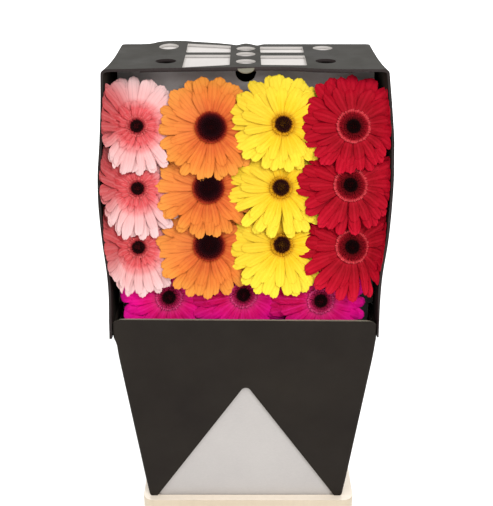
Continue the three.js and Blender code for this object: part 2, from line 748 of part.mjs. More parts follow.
// Flower card, in the face's own axes
function cardGeometry(heads) {
  const shape = new THREE.Shape();
  const notchSpan = Math.sqrt(FINGER_NOTCH_RADIUS ** 2 - (CARD_TOP - FINGER_NOTCH_RISE) ** 2);
  const notchAngle = Math.atan2(CARD_TOP - FINGER_NOTCH_RISE, notchSpan);
  shape.moveTo(-CARD_FOOT_HALF_WIDTH, CARD_BOTTOM);
  shape.lineTo(CARD_FOOT_HALF_WIDTH, CARD_BOTTOM);
  shape.lineTo(CARD_NECK_HALF_WIDTH, CARD_SHOULDER);
  shape.lineTo(CARD_HALF_WIDTH, CARD_SHOULDER);
  shape.lineTo(CARD_HALF_WIDTH, CARD_TOP);
  shape.absarc(0, FINGER_NOTCH_RISE, FINGER_NOTCH_RADIUS, notchAngle, Math.PI - notchAngle, true);
  shape.lineTo(-CARD_HALF_WIDTH, CARD_TOP);
  shape.lineTo(-CARD_HALF_WIDTH, CARD_SHOULDER);
  shape.lineTo(-CARD_NECK_HALF_WIDTH, CARD_SHOULDER);
  const middle = -CARD_RECESS - CARD_BOARD / 2;
  for (const { pose } of heads) {
    const head = new THREE.Vector3().setFromMatrixPosition(pose);
    const axis = new THREE.Vector3().setFromMatrixColumn(pose, 2);
    const crossing = head.addScaledVector(axis, (middle - head.z) / axis.z);
    shape.holes.push(disc(crossing.x, crossing.y, STEM_HOLE_RADIUS));
  }
  return plate(shape, -CARD_RECESS - CARD_BOARD, -CARD_RECESS, STEM_HOLE_SEGMENTS);
}

// Assembly
const carton = new THREE.Group();
const face = new THREE.Group();
face.position.set(0, LID_FRONT_Y, TOTAL_HEIGHT);
face.rotation.x = Math.PI / 2 - LEAN;
carton.add(face);
carton.updateMatrixWorld(true);

const heads = headList();

carton.add(meshOf("bucket", bucketGeometry(), "cream"));
carton.add(meshOf("outer_sleeve", sleeveGeometry(), "black"));
carton.add(meshOf("inner_liner", linerGeometry(), "pale"));
carton.add(meshOf("hood", hoodGeometry(), "black"));
carton.add(meshOf("lid_liner", lidLinerGeometry(), "pale"));
face.add(meshOf("flower_card", cardGeometry(heads), "grey"));

for (const head of heads) {
  const rings = head.nearWall ? WALL_HEAD_RINGS : OPEN_HEAD_RINGS;
  const ringRadii = [head.discRadius + PETAL_START, ...rings];
  face.add(meshOf(`${head.name}_petals`, petalsGeometry(head, ringRadii), head.finish));
  face.add(meshOf(`${head.name}_disc`, discGeometry(head), "eye"));
  carton.add(meshOf(`${head.name}_stem`, stemGeometry(head, face), "green"));
}

export default carton;
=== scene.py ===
# Cut gerberas in a black display carton on a cream bucket: the looks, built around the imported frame.
# Metres, +Z up, the flowers face -Y.

import math

import bpy
import numpy as np
from mathutils import Matrix, Vector


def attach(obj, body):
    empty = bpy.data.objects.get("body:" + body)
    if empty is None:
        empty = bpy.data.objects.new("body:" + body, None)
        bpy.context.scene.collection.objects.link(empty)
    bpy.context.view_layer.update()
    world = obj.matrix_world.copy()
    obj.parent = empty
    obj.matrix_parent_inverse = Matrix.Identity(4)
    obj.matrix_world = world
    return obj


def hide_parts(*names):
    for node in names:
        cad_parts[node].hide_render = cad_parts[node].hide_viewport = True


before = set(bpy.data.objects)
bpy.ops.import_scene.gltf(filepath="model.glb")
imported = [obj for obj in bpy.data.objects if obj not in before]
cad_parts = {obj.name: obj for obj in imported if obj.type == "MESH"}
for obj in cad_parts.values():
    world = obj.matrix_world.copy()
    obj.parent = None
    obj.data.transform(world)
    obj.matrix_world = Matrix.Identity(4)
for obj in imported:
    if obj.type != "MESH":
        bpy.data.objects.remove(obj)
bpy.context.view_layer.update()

# Overall sizes
LID_TOP_Z = 0.722
HALF_DEPTH = 0.123
GAP = 0.0003
CUT_MARGIN = 0.004

# Bucket: the carton stands on it a little off centre
BUCKET_SHIFT = 0.003
RIM_HEIGHT = 0.210
RIM_HALF_WIDTH = 0.130
RIM_RADIUS = 0.012
RIM_INNER_RADIUS = 0.008
RIM_LIP = 0.020
LIP_THICKNESS = 0.0022
SIDE_FLANGE_WIDTH = 0.0145
END_FLANGE_WIDTH = 0.0117
FLANGE_THICKNESS = 0.003
BASE_HALF_WIDTH = 0.106
BASE_HALF_DEPTH = 0.100
BASE_RADIUS = 0.022
BUCKET_WALL = 0.0025
BUCKET_FLOOR = 0.003
BUCKET_LEVELS = 9
RIM_BEVEL = 0.0012

# Bevels of the boards' edges
CARTON_BEVEL = 0.0004
HOOD_BEVEL = 0.0006
SHEET_BEVEL = 0.0003

# Outer sleeve
SLEEVE_FOOT_Z = RIM_HEIGHT + GAP
SLEEVE_TOP_Z = 0.455
SLEEVE_FOOT_HALF_WIDTH = 0.120
SLEEVE_FLARE = 0.1435
SLEEVE_BEND_Z = 0.395
SLEEVE_UPRIGHT_Z = 0.445
SLEEVE_FRONT_Y = -0.114
SLEEVE_FOOT_BACK_Y = 0.114
SLEEVE_TOP_BACK_Y = 0.1197
SLEEVE_BOARD = 0.003
SLEEVE_FOLD_RADIUS = 0.004
SLEEVE_CORNER_DROP = 0.009
SLEEVE_LEFT_SPREAD = 0.0031
SLEEVE_RIGHT_SPREAD = 0.0006
SLEEVE_SPREAD_Z = (0.424, 0.440)
SLEEVE_FOOT_CORNER = 0.0035
SLEEVE_FOOT_BEND = 0.028
SLEEVE_TOP_TILT = 0.007
SLEEVE_LEVELS = 40
SLEEVE_CORNER_STEPS = 6
SLEEVE_SIDE_STEPS = 60
NOTCH_APEX_Z = 0.3702
NOTCH_SLOPE = 0.685
NOTCH_RADIUS = 0.0061
NOTCH_ARC_STEPS = 12

# Inner liner
LINER_WAIST_Z = 0.2095
LINER_WAIST_HALF_WIDTH = 0.1119
LINER_FOOT_Z = 0.150
LINER_FOOT_HALF_WIDTH = 0.105
LINER_FOOT_HALF_DEPTH = 0.104
LINER_BOARD = 0.002
LINER_RADIUS = 0.008
LINER_FOOT_LEVELS = 7
LINER_FLARE_LEVELS = 14
LINER_BEND_LEVELS = 9

# Hood
LID_HALF_WIDTH = 0.155
LID_FRONT_Y = -0.017
HOOD_BOARD = 0.003
HOOD_FOOT_Z = 0.433
HOOD_FOOT_HALF_WIDTH = 0.1555
SHOULDER_DROP = 0.0055
BOW_FADE = 3.0
LEFT_FOOT_DROP = 0.002

# The hood isn't square: heights, with the half widths of the left and the right wall's free front edge
WALL_EDGES = (
    (0.433, 0.1571, 0.1530), (0.455, 0.1564, 0.1526), (0.477, 0.1563, 0.1535), (0.499, 0.1577, 0.1553),
    (0.541, 0.1635, 0.1622), (0.584, 0.1676, 0.1665), (0.607, 0.1679, 0.1678), (0.645, 0.1655, 0.1679),
    (0.679, 0.1640, 0.1655), (0.722, 0.1635, 0.1616),
)
HOOD_LEVELS = 44
HOOD_FOLD_STEPS = 6
HOOD_LID_STEPS = 124
HOOD_DEPTH_STEPS = 24
HOOD_CORNER_RADIUS = 0.006
HOOD_CORNER_STEPS = 10

# The lid's front edge is drawn back between its corners: places across, with how far
LID_RECESS = (
    (-0.155, 0.0), (-0.130, 0.0015), (-0.112, 0.0036), (-0.075, 0.0066), (-0.017, 0.0102),
    (0.021, 0.0117), (0.059, 0.0087), (0.078, 0.0036), (0.110, 0.0), (0.155, 0.0),
)

# The lid's back edge bulges on the left: places across, with how far up
LID_CROWN = (
    (-0.155, 0.0), (-0.130, 0.0001), (-0.118, 0.0009), (-0.108, 0.0030), (-0.094, 0.0041),
    (-0.078, 0.0041), (-0.061, 0.0029), (-0.040, 0.0017), (-0.019, 0.0), (0.155, 0.0),
)
CROWN_START_Y = 0.072

# Small ripples of the back edge at its middle: places across, with how far up
LID_RIPPLES = ((-0.012, -0.0012), (0.0, 0.0009), (0.014, -0.0016))
LID_RIPPLE_WIDTH = 0.005
LID_RIPPLE_RUN = 0.016
BACK_SINK = 0.0012
BACK_INTO_LID = 0.0024

# Cut-outs in the lid: places across, and back from its front corners. Dark holes go through the liner too
WINDOWS = (
    ((-0.072, 0.009), (-0.0185, 0.022), (-0.0185, 0.076), (-0.072, 0.076)),
    ((0.0175, 0.022), (0.070, 0.020), (0.070, 0.072), (0.0175, 0.072)),
    ((-0.072, 0.0895), (-0.0185, 0.0895), (-0.0185, 0.128), (-0.072, 0.128)),
    ((0.0175, 0.089), (0.070, 0.089), (0.070, 0.123), (0.0175, 0.123)),
)
WINDOW_CORNER = 0.0015
HOLE_RADIUS = 0.012
CENTRE_HOLE_RADIUS = 0.0115
PALE_HOLES = ((-0.0945, 0.115), (0.0945, 0.115))
CENTRE_HOLES = ((0.0, 0.040), (0.0, 0.080), (0.0, 0.112))
DARK_HOLES = ((-0.093, 0.042), (0.093, 0.042))
HOLE_STEPS = 48

# Thumb tab at the middle of the lid's front edge
TAB_HALF_WIDTH = 0.010
TAB_LENGTH = 0.0085
TAB_BOARD = 0.0015
TAB_SLOPE = math.radians(36)
TAB_ROOT = 0.0015
TAB_STEPS = 24

# Lid liner
LID_LINER_HALF_WIDTH = 0.120
LID_LINER_BOARD = 0.0015
LID_LINER_FRONT_INSET = 0.0015
LID_LINER_BACK_INSET = 0.005
LID_LINER_HOLE_RADIUS = 0.014
LID_LINER_STEPS = 60
LID_LINER_DEPTH_STEPS = 16

# Flower card, in the leaning face's axes
LEAN = math.atan2(LID_FRONT_Y - SLEEVE_FRONT_Y, LID_TOP_Z - SLEEVE_TOP_Z)
CARD_RECESS = 0.040
CARD_BOARD = 0.0025
CARD_TOP = 0.0087
CARD_SHOULDER = -0.2681
CARD_BOTTOM = -0.326
CARD_HALF_WIDTH = 0.1498
CARD_NECK_HALF_WIDTH = 0.1448
CARD_FOOT_HALF_WIDTH = 0.1414
STEM_HOLE_RADIUS = 0.006
STEM_HOLE_STEPS = 24
FINGER_NOTCH_RADIUS = 0.012
FINGER_NOTCH_RISE = 0.0025
FINGER_NOTCH_STEPS = 33

# Flowers: places are across the leaning face, and down it from the lid's front edge
HEAD_RADIUS = 0.0585
DISH = 0.0036
DISH_SPAN = 1.08 * HEAD_RADIUS
PETAL_WALL_GAP = 0.001
ROOM_WIDENS_TO_Z = 0.500
PRESS_RUN = 0.012
BEND_RADIUS = 0.020
BEND_ANGLE = math.radians(70)
BEND_RUN = 0.0015
WALL_CLEARANCE = 0.0018
PILE_DEPTH = 0.003
BEND_REFERENCE = -0.010
SIDE_TURN = math.radians(4.9)
DOWN_TURN = math.radians(-10)
COLUMNS = {"pink": -0.1225, "orange": -0.041, "yellow": 0.0425, "red": 0.122}
ROWS = {
    "top": {"down": 0.0623, "out": -0.010, "foot_y": 0.060},
    "middle": {"down": 0.1324, "out": -0.010, "foot_y": 0.025},
    "bottom": {"down": 0.1994, "out": -0.011, "foot_y": -0.010},
}
FRONT_ROW = {"down": 0.2596, "out": -0.022, "foot_y": -0.045}
FRONT_ROW_TURN = math.radians(2)
FRONT_ROW_PLACES = {"left": -0.090, "centre": -0.001, "right": 0.0875}
FOOT_SPREAD = 0.55
FIRST_SEED = 100

# How each head sits: across and up from its place, and how much longer its petals are above and below it
HEAD_FITS = {
    "pink_top": (-0.0014, -0.0020, 0.003, -0.002),
    "pink_middle": (-0.0010, -0.0023, 0.002, 0.002),
    "pink_bottom": (-0.0005, -0.0025, 0.002, 0.000),
    "orange_top": (0.0012, -0.0035, 0.005, 0.004),
    "orange_middle": (-0.0018, -0.0018, 0.002, 0.000),
    "orange_bottom": (-0.0014, 0.0000, 0.000, 0.004),
    "yellow_top": (-0.0004, 0.0000, 0.005, -0.004),
    "yellow_middle": (-0.0030, -0.0013, 0.002, 0.002),
    "yellow_bottom": (-0.0018, 0.0005, 0.000, 0.005),
    "red_top": (-0.0006, -0.0023, 0.006, -0.004),
    "red_middle": (-0.0035, 0.0015, 0.002, -0.001),
    "red_bottom": (-0.0010, -0.0018, 0.002, 0.006),
    "magenta_left": (0.0006, 0.0006, 0.000, 0.000),
    "magenta_centre": (-0.0023, 0.0035, 0.000, 0.000),
    "magenta_right": (-0.0014, -0.0035, 0.000, 0.000),
}

# Stems
STEM_RADIUS = 0.0032
STEM_SIDES = 14
STEM_STEPS_PER_SPAN = 12
NECK_INSET = 0.003
SEAT_MARGIN = 0.001
SEAT_DROP = 0.002
CALYX_GAP = 0.0002
BEFORE_CARD = 0.002
PAST_CARD = 0.008
TURN_BACK = 0.020
TURN_DROP = 0.034
TURN_SHARE = 0.12
HANG_SHARE = 0.14
FOOT_RISE = 0.030
CALYX_LENGTH = 0.013
CALYX_RADIUS = 0.010
CALYX_BELLY_RADIUS = 0.0085
CALYX_BELLY_HEIGHT = 0.00715
CALYX_END_RADIUS = 0.0004
CALYX_SIDES = 28
BRACT_COUNT = 20
BRACT_LENGTH = 0.58 * CALYX_LENGTH
BRACT_HALF_WIDTH = 0.0017
BRACT_HALF_THICKNESS = 0.0002
BRACT_LIFT = 0.0003
BRACT_TIP_LIFT = 0.0007
BRACT_BULGE = 0.0002
BRACT_ROW_STEP = 0.30

# The camera stands where the photograph's did
CAMERA_PLACE = (0.0008, -1.098, 0.969)
CAMERA_PITCH = math.radians(23.6)
CAMERA_LENS = 69.0
CAMERA_SENSOR = 36.0

# Studio. A softbox has a place, a target, a size and an energy
FLOOR_REACH = 30.0
SKY_STRENGTH = 0.75
SOFTBOXES = {
    "key_light": ((0.9, -1.7, 2.1), (0.0, 0.0, 0.5), 1.2, 30.0),
    "fill_light": ((-1.6, -1.4, 1.2), (0.0, 0.0, 0.5), 1.4, 10.0),
    "floor_light": ((0.0, 2.2, 3.2), (0.0, 2.0, 0.0), 3.0, 70.0),
    "far_floor_light": ((0.0, 6.0, 4.0), (0.0, 7.0, 0.0), 6.0, 400.0),
}

# How each colour of gerbera is built: the radii of its eye and of the collar round it, its petals' point,
# which is 1 for a round tip, and its whorls, outer one first: petals, reach, width, and rise at the middle
FLOWERS = {
    "pink": {
        "eye": 0.0080, "collar": 0.0125, "point": 1.15,
        "whorls": (
            (17, 0.94, 0.0150, -0.0026), (20, 1.00, 0.0128, -0.0014), (20, 0.94, 0.0120, 0.0002),
            (18, 0.52, 0.0090, 0.0017), (18, 0.38, 0.0066, 0.0030),
        ),
    },
    "orange": {
        "eye": 0.0150, "collar": 0.0190, "point": 1.05,
        "whorls": ((18, 1.00, 0.0150, -0.0014), (18, 0.94, 0.0142, 0.0002), (17, 0.78, 0.0132, 0.0017)),
    },
    "yellow": {
        "eye": 0.0098, "collar": 0.0135, "point": 1.05,
        "whorls": ((19, 1.00, 0.0144, -0.0014), (19, 0.94, 0.0138, 0.0002), (18, 0.78, 0.0126, 0.0017)),
    },
    "red": {
        "eye": 0.0090, "collar": 0.0200, "point": 1.35,
        "whorls": ((16, 1.00, 0.0160, -0.0014), (16, 0.95, 0.0152, 0.0002), (15, 0.78, 0.0136, 0.0017)),
    },
    "magenta": {
        "eye": 0.0085, "collar": 0.0160, "point": 1.15,
        "whorls": ((18, 1.00, 0.0150, -0.0014), (18, 0.94, 0.0142, 0.0002), (17, 0.78, 0.0128, 0.0017)),
    },
}

# Petals. Each pair is the lowest and the highest value that a petal may draw
PETAL_ALONG_STEPS = 13
PETAL_TIP_CROWDING = 1.3
PETAL_HALF = np.array([0.18, 0.36, 0.60, 0.85, 1.0])
PETAL_ACROSS = np.concatenate([-PETAL_HALF[::-1], [0.0], PETAL_HALF])
PETAL_THICKNESS = 0.0005
PETAL_BASE_SHARE = 0.66
PETAL_UNDER_COLLAR = 0.0035
PETAL_WIDER_ABOVE = 0.14
PETAL_LONGER_LEFT = 0.0045
PETAL_JITTER = 0.2
PETAL_LENGTHS = (0.94, 1.0)
PETAL_WIDTHS = (0.92, 1.08)
PETAL_SWAYS = (-0.0024, 0.0024)
PETAL_ARCHES = (-0.0006, 0.0020)
PETAL_DROOPS = (-0.0006, 0.0030)
PETAL_ROLLS = (0.05, 0.15)
PETAL_TWISTS = (-0.16, 0.16)
PETAL_CROWNS = (0.0001, 0.0012)
PETAL_WAVES = (5, 9)
WAVE_HEIGHT = 0.0005
TEETH_DEPTH = 0.0005
GROOVE_PLACE = 0.36
GROOVE_WIDTH = 0.12
GROOVE_DEPTH = 0.00032

# Petals that point left get a painted shade from the side wall: a darker colour, on the orange heads a paler
# one, but for one head's, whose left petals stand in the light: where it starts and is full, by direction
# and by reach
SHADE_DIRECTION = math.radians(160)
SHADE_NEARNESS = (0.4, 0.95)
SHADE_REACH = (0.2, 0.42)
HEAD_WITHOUT_SHADE = "magenta_left"

# Eyes: a low dome, packed buds, and rings of short florets as a collar
DOME_FOOT = 0.003
DOME_SLOPE = 0.3
DOME_INSET = 0.0006
DOME_SIDES = 40
DOME_TONE = 0.4
LARGE_EYE = 0.0155
LARGE_EYE_BUDS = 170
FEWEST_BUDS = 50
BUD_SIDES = 6
GOLDEN_ANGLE = math.radians(137.508)
FLORET_PITCH = 0.0019
FLORET_RING = 0.0026
FLORET_JITTER = 0.3
FLORET_THICKNESS = 0.0004
SHORTEST_FLORET = 0.004
FLORET_HEIGHT = 0.0042
COLLAR_FALL = 0.0012
FLORET_CURL = 0.0005
FLORET_LENGTHS = (0.85, 1.1)
FLORET_HALF_WIDTHS = (0.0009, 0.0013)
FLORET_STANDS = (0.0012, 0.0026)
FLORET_SWAYS = (-0.0005, 0.0005)

# Boards: two colours on a scale of 0 to 255, roughness and specular level. Plastics: two colours
BOARDS = {
    "black_board": ((33, 28, 25), (41, 36, 31), 0.66, 0.1),
    # The lid's top: the black board painted lighter, as painted light from above
    "lid_board": ((45, 43, 39), (55, 53, 48), 0.7, 0.08),
    "board_edge": ((122, 118, 103), (140, 136, 120), 0.8, 0.1),
    "hood_edge": ((60, 52, 51), (45, 39, 38), 0.7, 0.1),
    "pale_board": ((190, 185, 181), (181, 176, 173), 0.6, 0.2),
    # The windows' cut walls: the pale board painted lighter, as painted light on walls that get less of it
    "lit_window_edge": ((206, 202, 198), (196, 192, 187), 0.7, 0.1),
    "grey_board": ((164, 158, 157), (136, 130, 127), 0.6, 0.2),
}
PLASTICS = {
    "cream_plastic": ((201, 185, 160), (211, 197, 175)),
    # The flange's top: the cream plastic painted lighter, as painted light from above
    "lit_rim_top": ((241, 227, 209), (247, 235, 219)),
}

# The flower card has painted shade, darker downwards: heights, with how much of its colour is left
CARD_PAINTED_SHADE = ((0.46, 0.12), (0.60, 0.5), (0.70, 1.0))

# Petals: colours by reach, the painted shade on the left, and the veins' colour, which also paints a
# highlight on the ridges, with how much of each shows, and how much colour the painted shade of the grooves
# and the dullest petal keep
PETAL_LOOKS = {
    "pink": {
        "stops": (
            (0.15, (206, 62, 66)), (0.35, (218, 82, 86)), (0.46, (228, 130, 130)), (0.60, (236, 176, 174)),
            (1.0, (239, 202, 200)),
        ),
        "left": (196, 54, 60), "left_shade_share": 0.92,
        "vein_and_highlight": (244, 190, 188), "vein_share": 0.22, "ridge_highlight_share": 0.12,
        "groove_shade": 0.9, "dull": 0.9,
    },
    "orange": {
        "stops": ((0.25, (190, 70, 34)), (0.4, (208, 90, 42)), (0.7, (221, 115, 48)), (1.0, (234, 146, 60))),
        "left": (240, 146, 74), "left_shade_share": 0.35,
        "vein_and_highlight": (246, 160, 74), "vein_share": 0.35, "ridge_highlight_share": 0.15,
        "groove_shade": 0.88, "dull": 0.9,
    },
    "yellow": {
        "stops": (
            (0.18, (214, 150, 20)), (0.34, (238, 188, 26)), (0.7, (243, 207, 50)), (1.0, (245, 219, 62)),
        ),
        "left": (233, 191, 47), "left_shade_share": 0.85,
        "vein_and_highlight": (253, 236, 80), "vein_share": 0.4, "ridge_highlight_share": 0.15,
        "groove_shade": 0.92, "dull": 0.93,
    },
    "red": {
        "stops": ((0.3, (176, 18, 36)), (0.44, (146, 2, 20)), (0.75, (170, 4, 30)), (1.0, (196, 14, 44))),
        "left": (160, 0, 24), "left_shade_share": 0.85,
        "vein_and_highlight": (214, 36, 58), "vein_share": 0.3, "ridge_highlight_share": 0.22,
        "groove_shade": 0.84, "dull": 0.9,
    },
    "magenta": {
        "stops": ((0.25, (204, 40, 100)), (0.42, (208, 2, 96)), (0.7, (232, 2, 132)), (1.0, (252, 18, 164))),
        "left": (176, 0, 50), "left_shade_share": 0.95,
        "vein_and_highlight": (255, 44, 164), "vein_share": 0.4, "ridge_highlight_share": 0.2,
        "groove_shade": 0.93, "dull": 0.95,
    },
}

# Eyes and collars: colours from the middle outwards
EYE_LOOKS = {
    "pink": ((0.0, (16, 4, 6)), (0.8, (34, 8, 10)), (1.0, (84, 20, 24))),
    "orange": ((0.0, (14, 4, 7)), (0.75, (36, 6, 11)), (1.0, (92, 16, 18))),
    "yellow": ((0.0, (30, 8, 9)), (0.8, (44, 12, 12)), (1.0, (96, 48, 16))),
    "red": ((0.0, (12, 2, 2)), (0.8, (22, 3, 4)), (1.0, (60, 6, 10))),
    "magenta": ((0.0, (14, 4, 2)), (0.8, (26, 5, 8)), (1.0, (72, 12, 28))),
}
COLLAR_LOOKS = {
    "pink": ((0.0, (150, 40, 46)), (0.5, (212, 84, 86)), (1.0, (232, 112, 112))),
    "orange": ((0.0, (84, 14, 18)), (1.0, (186, 62, 34))),
    "yellow": ((0.0, (176, 112, 18)), (0.6, (222, 164, 26)), (1.0, (206, 150, 22))),
    "red": ((0.0, (84, 6, 12)), (0.6, (140, 12, 26)), (0.8, (206, 60, 68)), (1.0, (214, 78, 84))),
    "magenta": ((0.0, (112, 12, 40)), (0.55, (184, 34, 88)), (1.0, (232, 84, 142))),
}


# Numbers and shapes

def between(start, end, share):
    return start + (end - start) * share


def smooth_step(low, high, value):
    share = np.clip((value - low) / (high - low), 0.0, 1.0)
    return share * share * (3.0 - 2.0 * share)


def smooth_line(places, values, at):
    """A smooth curve through a few values, which stays between the lowest and the highest."""
    places = np.array(places)
    values = np.array(values)
    slopes = np.gradient(values, places)
    at = np.clip(at, places[0], places[-1])
    i = np.clip(np.searchsorted(places, at) - 1, 0, len(places) - 2)
    run = places[i + 1] - places[i]
    t = (at - places[i]) / run
    start = (2 * t ** 3 - 3 * t ** 2 + 1) * values[i] + (t ** 3 - 2 * t ** 2 + t) * run * slopes[i]
    end = (3 * t ** 2 - 2 * t ** 3) * values[i + 1] + (t ** 3 - t ** 2) * run * slopes[i + 1]
    return np.clip(start + end, np.min(values), np.max(values))


def stack(*values):
    return np.stack(np.broadcast_arrays(*values), -1).astype(float)


def even_angles(count):
    return np.arange(count) / count * 2 * math.pi


def turned(x, y, angle):
    return x * np.cos(angle) - y * np.sin(angle), x * np.sin(angle) + y * np.cos(angle)


def grid_faces(rows, columns, wrap_rows=False, wrap_columns=False):
    """Quads of a grid of points stored row by row."""
    row = np.arange(rows if wrap_rows else rows - 1)[:, None]
    column = np.arange(columns if wrap_columns else columns - 1)[None, :]
    next_row = (row + 1) % rows
    next_column = (column + 1) % columns
    corners = ((row, column), (next_row, column), (next_row, next_column), (row, next_column))
    return np.stack([its_row * columns + its_column for its_row, its_column in corners], -1).reshape(-1, 4)


def shell_faces(rows, columns):
    """Quads of a closed sheet: a grid above, the same grid below, and a strip round the edge."""
    number = np.arange(rows * columns).reshape(rows, columns)
    below = rows * columns
    edge = np.concatenate([number[:-1, 0], number[-1, :-1], number[:0:-1, -1], number[0, ::-1]])
    strip = np.stack([edge[:-1] + below, edge[1:] + below, edge[1:], edge[:-1]], -1)
    above = grid_faces(rows, columns)
    return np.concatenate([above, above[:, ::-1] + below, strip]).tolist()


def loft_faces(rows, columns, ring=False):
    """Faces over closed loops of points, capped at both ends unless the loops form a ring."""
    faces = grid_faces(rows, columns, wrap_rows=ring, wrap_columns=True)[:, ::-1].tolist()
    if not ring:
        last = (rows - 1) * columns
        faces.append(list(range(columns))[::-1])
        faces.append(list(range(last, last + columns)))
    return faces


def loft(loops, ring=False):
    loops = np.asarray(loops)
    return loops.reshape(-1, 3), loft_faces(*loops.shape[:2], ring)


def revolved(radius, height, sides):
    """A closed form about the Z axis, from its outline's radii and heights."""
    angle = even_angles(sides)
    radius = radius[:, None]
    return loft(stack(radius * np.cos(angle), radius * np.sin(angle), height[:, None]))


def prism(outline, low, high):
    """A plate of a flat outline, anticlockwise, between two levels."""
    x, y = np.transpose(outline)
    return loft([stack(x, y, level) for level in (low, high)])


def joined(parts):
    """One list of points and one of faces from several."""
    points = []
    faces = []
    start = 0
    for its_points, its_faces in parts:
        points.append(its_points.reshape(-1, 3))
        faces += [[start + i for i in face] for face in its_faces]
        start += len(points[-1])
    return np.concatenate(points), faces


def rounded_loop(half_width, back_y, front_y, radius, z, corner_steps=8, side_steps=10):
    """A level rectangle with rounded corners, anticlockwise seen from above."""
    right = half_width - radius
    back = back_y - radius
    front = front_y + radius
    arcs = []
    for quarter, (x, y) in enumerate(((right, back), (-right, back), (-right, front), (right, front))):
        angle = (quarter + np.linspace(0, 1, corner_steps + 1)) * math.pi / 2
        arcs.append(stack(x + radius * np.cos(angle), y + radius * np.sin(angle), z))
    share = np.linspace(0, 1, side_steps + 1)[1:-1, None]
    sides = [between(arc[-1], following[0], share) for arc, following in zip(arcs, arcs[1:] + arcs[:1])]
    return np.concatenate([part for pair in zip(arcs, sides) for part in pair])


def circle(x, y, radius, steps):
    angle = even_angles(steps)
    return stack(x + radius * np.cos(angle), y + radius * np.sin(angle))


def rounded_polygon(corners, radius, steps=4):
    """An outline through the corners, each rounded by a short curve."""
    share = np.linspace(0, 1, steps + 1)[:, None]
    arcs = []
    for before, corner, after in zip(np.roll(corners, 1, 0), corners, np.roll(corners, -1, 0)):
        start = corner + (before - corner) * radius / np.linalg.norm(before - corner)
        end = corner + (after - corner) * radius / np.linalg.norm(after - corner)
        arcs.append(start * (1 - share) ** 2 + 2 * corner * share * (1 - share) + end * share ** 2)
    return np.concatenate(arcs)


def upright(points):
    """Outlines drawn in X and Z, with levels along -Y."""
    return stack(points[:, 0], -points[:, 2], points[:, 1])


def as_drawn(points):
    return points


# Objects

def make_object(name, points, faces, finishes, smooth=True):
    mesh = bpy.data.meshes.new(name)
    mesh.from_pydata(np.reshape(points, (-1, 3)).tolist(), [], faces)
    for finish in finishes:
        mesh.materials.append(materials[finish])
    mesh.shade_smooth() if smooth else mesh.shade_flat()
    made = bpy.data.objects.new(name, mesh)
    bpy.context.scene.collection.objects.link(made)
    return made


def set_attributes(thing, **attributes):
    for name, values in attributes.items():
        made = thing.data.attributes.new(name, "FLOAT", "POINT")
        made.data.foreach_set("value", np.asarray(values, np.float32).ravel())


def paint(thing, indices):
    thing.data.polygons.foreach_set("material_index", np.asarray(indices, np.int32))


def paint_bands(thing, columns, bands):
    """Gives whole bands of a loft's quads the second material."""
    paint(thing, np.isin(np.arange(len(thing.data.polygons)) // columns, bands))


def add_modifier(thing, kind, **settings):
    modifier = thing.modifiers.new(kind.lower(), kind)
    for key, value in settings.items():
        setattr(modifier, key, value)


def apply_modifiers(thing):
    graph = bpy.context.evaluated_depsgraph_get()
    mesh = bpy.data.meshes.new_from_object(thing.evaluated_get(graph), depsgraph=graph)
    thing.modifiers.clear()
    thing.data = mesh


def carve(target, outlines, low, high, to_place, material_index, operation="DIFFERENCE"):
    """Cuts plates of the outlines out of a closed object, or joins them on, with a material of its list."""
    points, faces = joined([prism(outline, low, high) for outline in outlines])
    cutter = make_object("cutter", to_place(points), faces, [], smooth=False)
    for _ in range(material_index + 1):
        cutter.data.materials.append(None)
    paint(cutter, np.full(len(faces), material_index))
    add_modifier(target, "BOOLEAN", object=cutter, operation=operation, solver="EXACT")
    apply_modifiers(target)
    bpy.data.objects.remove(cutter)


def soften_edges(thing, width, angle=50, segments=2, edge_material=-1):
    """Rounds the sharp edges, with a material of the object's list, or below 0 that of the faces beside."""
    angle_limit = math.radians(angle)
    add_modifier(
        thing, "BEVEL", width=width, segments=segments, limit_method="ANGLE", angle_limit=angle_limit,
        use_clamp_overlap=True, material=edge_material,
    )
    add_modifier(thing, "WEIGHTED_NORMAL", keep_sharp=True)
    apply_modifiers(thing)


def add_piece(thing, slot, *nodes):
    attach(thing, "root")
    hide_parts(*nodes)


# Materials

def srgb(shades):
    """A linear colour from screen values of 0 to 255."""
    shares = np.array(shades) / 255.0
    linear = np.where(shares <= 0.04045, shares / 12.92, ((shares + 0.055) / 1.055) ** 2.4)
    return (*linear.tolist(), 1.0)


def feed(socket, value):
    """Gives a socket a fixed value, or links another node's output to it."""
    if isinstance(value, bpy.types.NodeSocket):
        socket.id_data.links.new(value, socket)
    else:
        socket.default_value = value


def add_node(tree, kind, inputs, **settings):
    made = tree.nodes.new(f"ShaderNode{kind}")
    for key, value in settings.items():
        setattr(made, key, value)
    for key, value in inputs.items():
        feed(made.inputs[key], value)
    return made


def new_material(name, roughness, specular):
    """A material, its node tree, and its shader's inputs."""
    material = bpy.data.materials.new(name)
    material.use_nodes = True
    finish = material.node_tree.nodes["Principled BSDF"].inputs
    feed(finish["Roughness"], roughness)
    feed(finish["Specular IOR Level"], specular)
    return material, material.node_tree, finish


def ramp(tree, factor, stops, interpolation="LINEAR"):
    """A colour ramp. Each stop is a place and a grey as one number, or a colour on a scale of 0 to 255."""
    made = add_node(tree, "ValToRGB", {"Fac": factor})
    made.color_ramp.interpolation = interpolation
    elements = made.color_ramp.elements
    while len(elements) < len(stops):
        elements.new(0.5)
    for element, (place, colour) in zip(elements, stops):
        element.position = place
        element.color = srgb(colour) if isinstance(colour, tuple) else (colour, colour, colour, 1.0)
    return made.outputs["Color"]


def mix(tree, blend, factor, first, second):
    made = add_node(tree, "Mix", {0: factor, 6: first, 7: second}, data_type="RGBA", blend_type=blend)
    return made.outputs[2]


def attribute(tree, name):
    return add_node(tree, "Attribute", {}, attribute_name=name).outputs["Fac"]


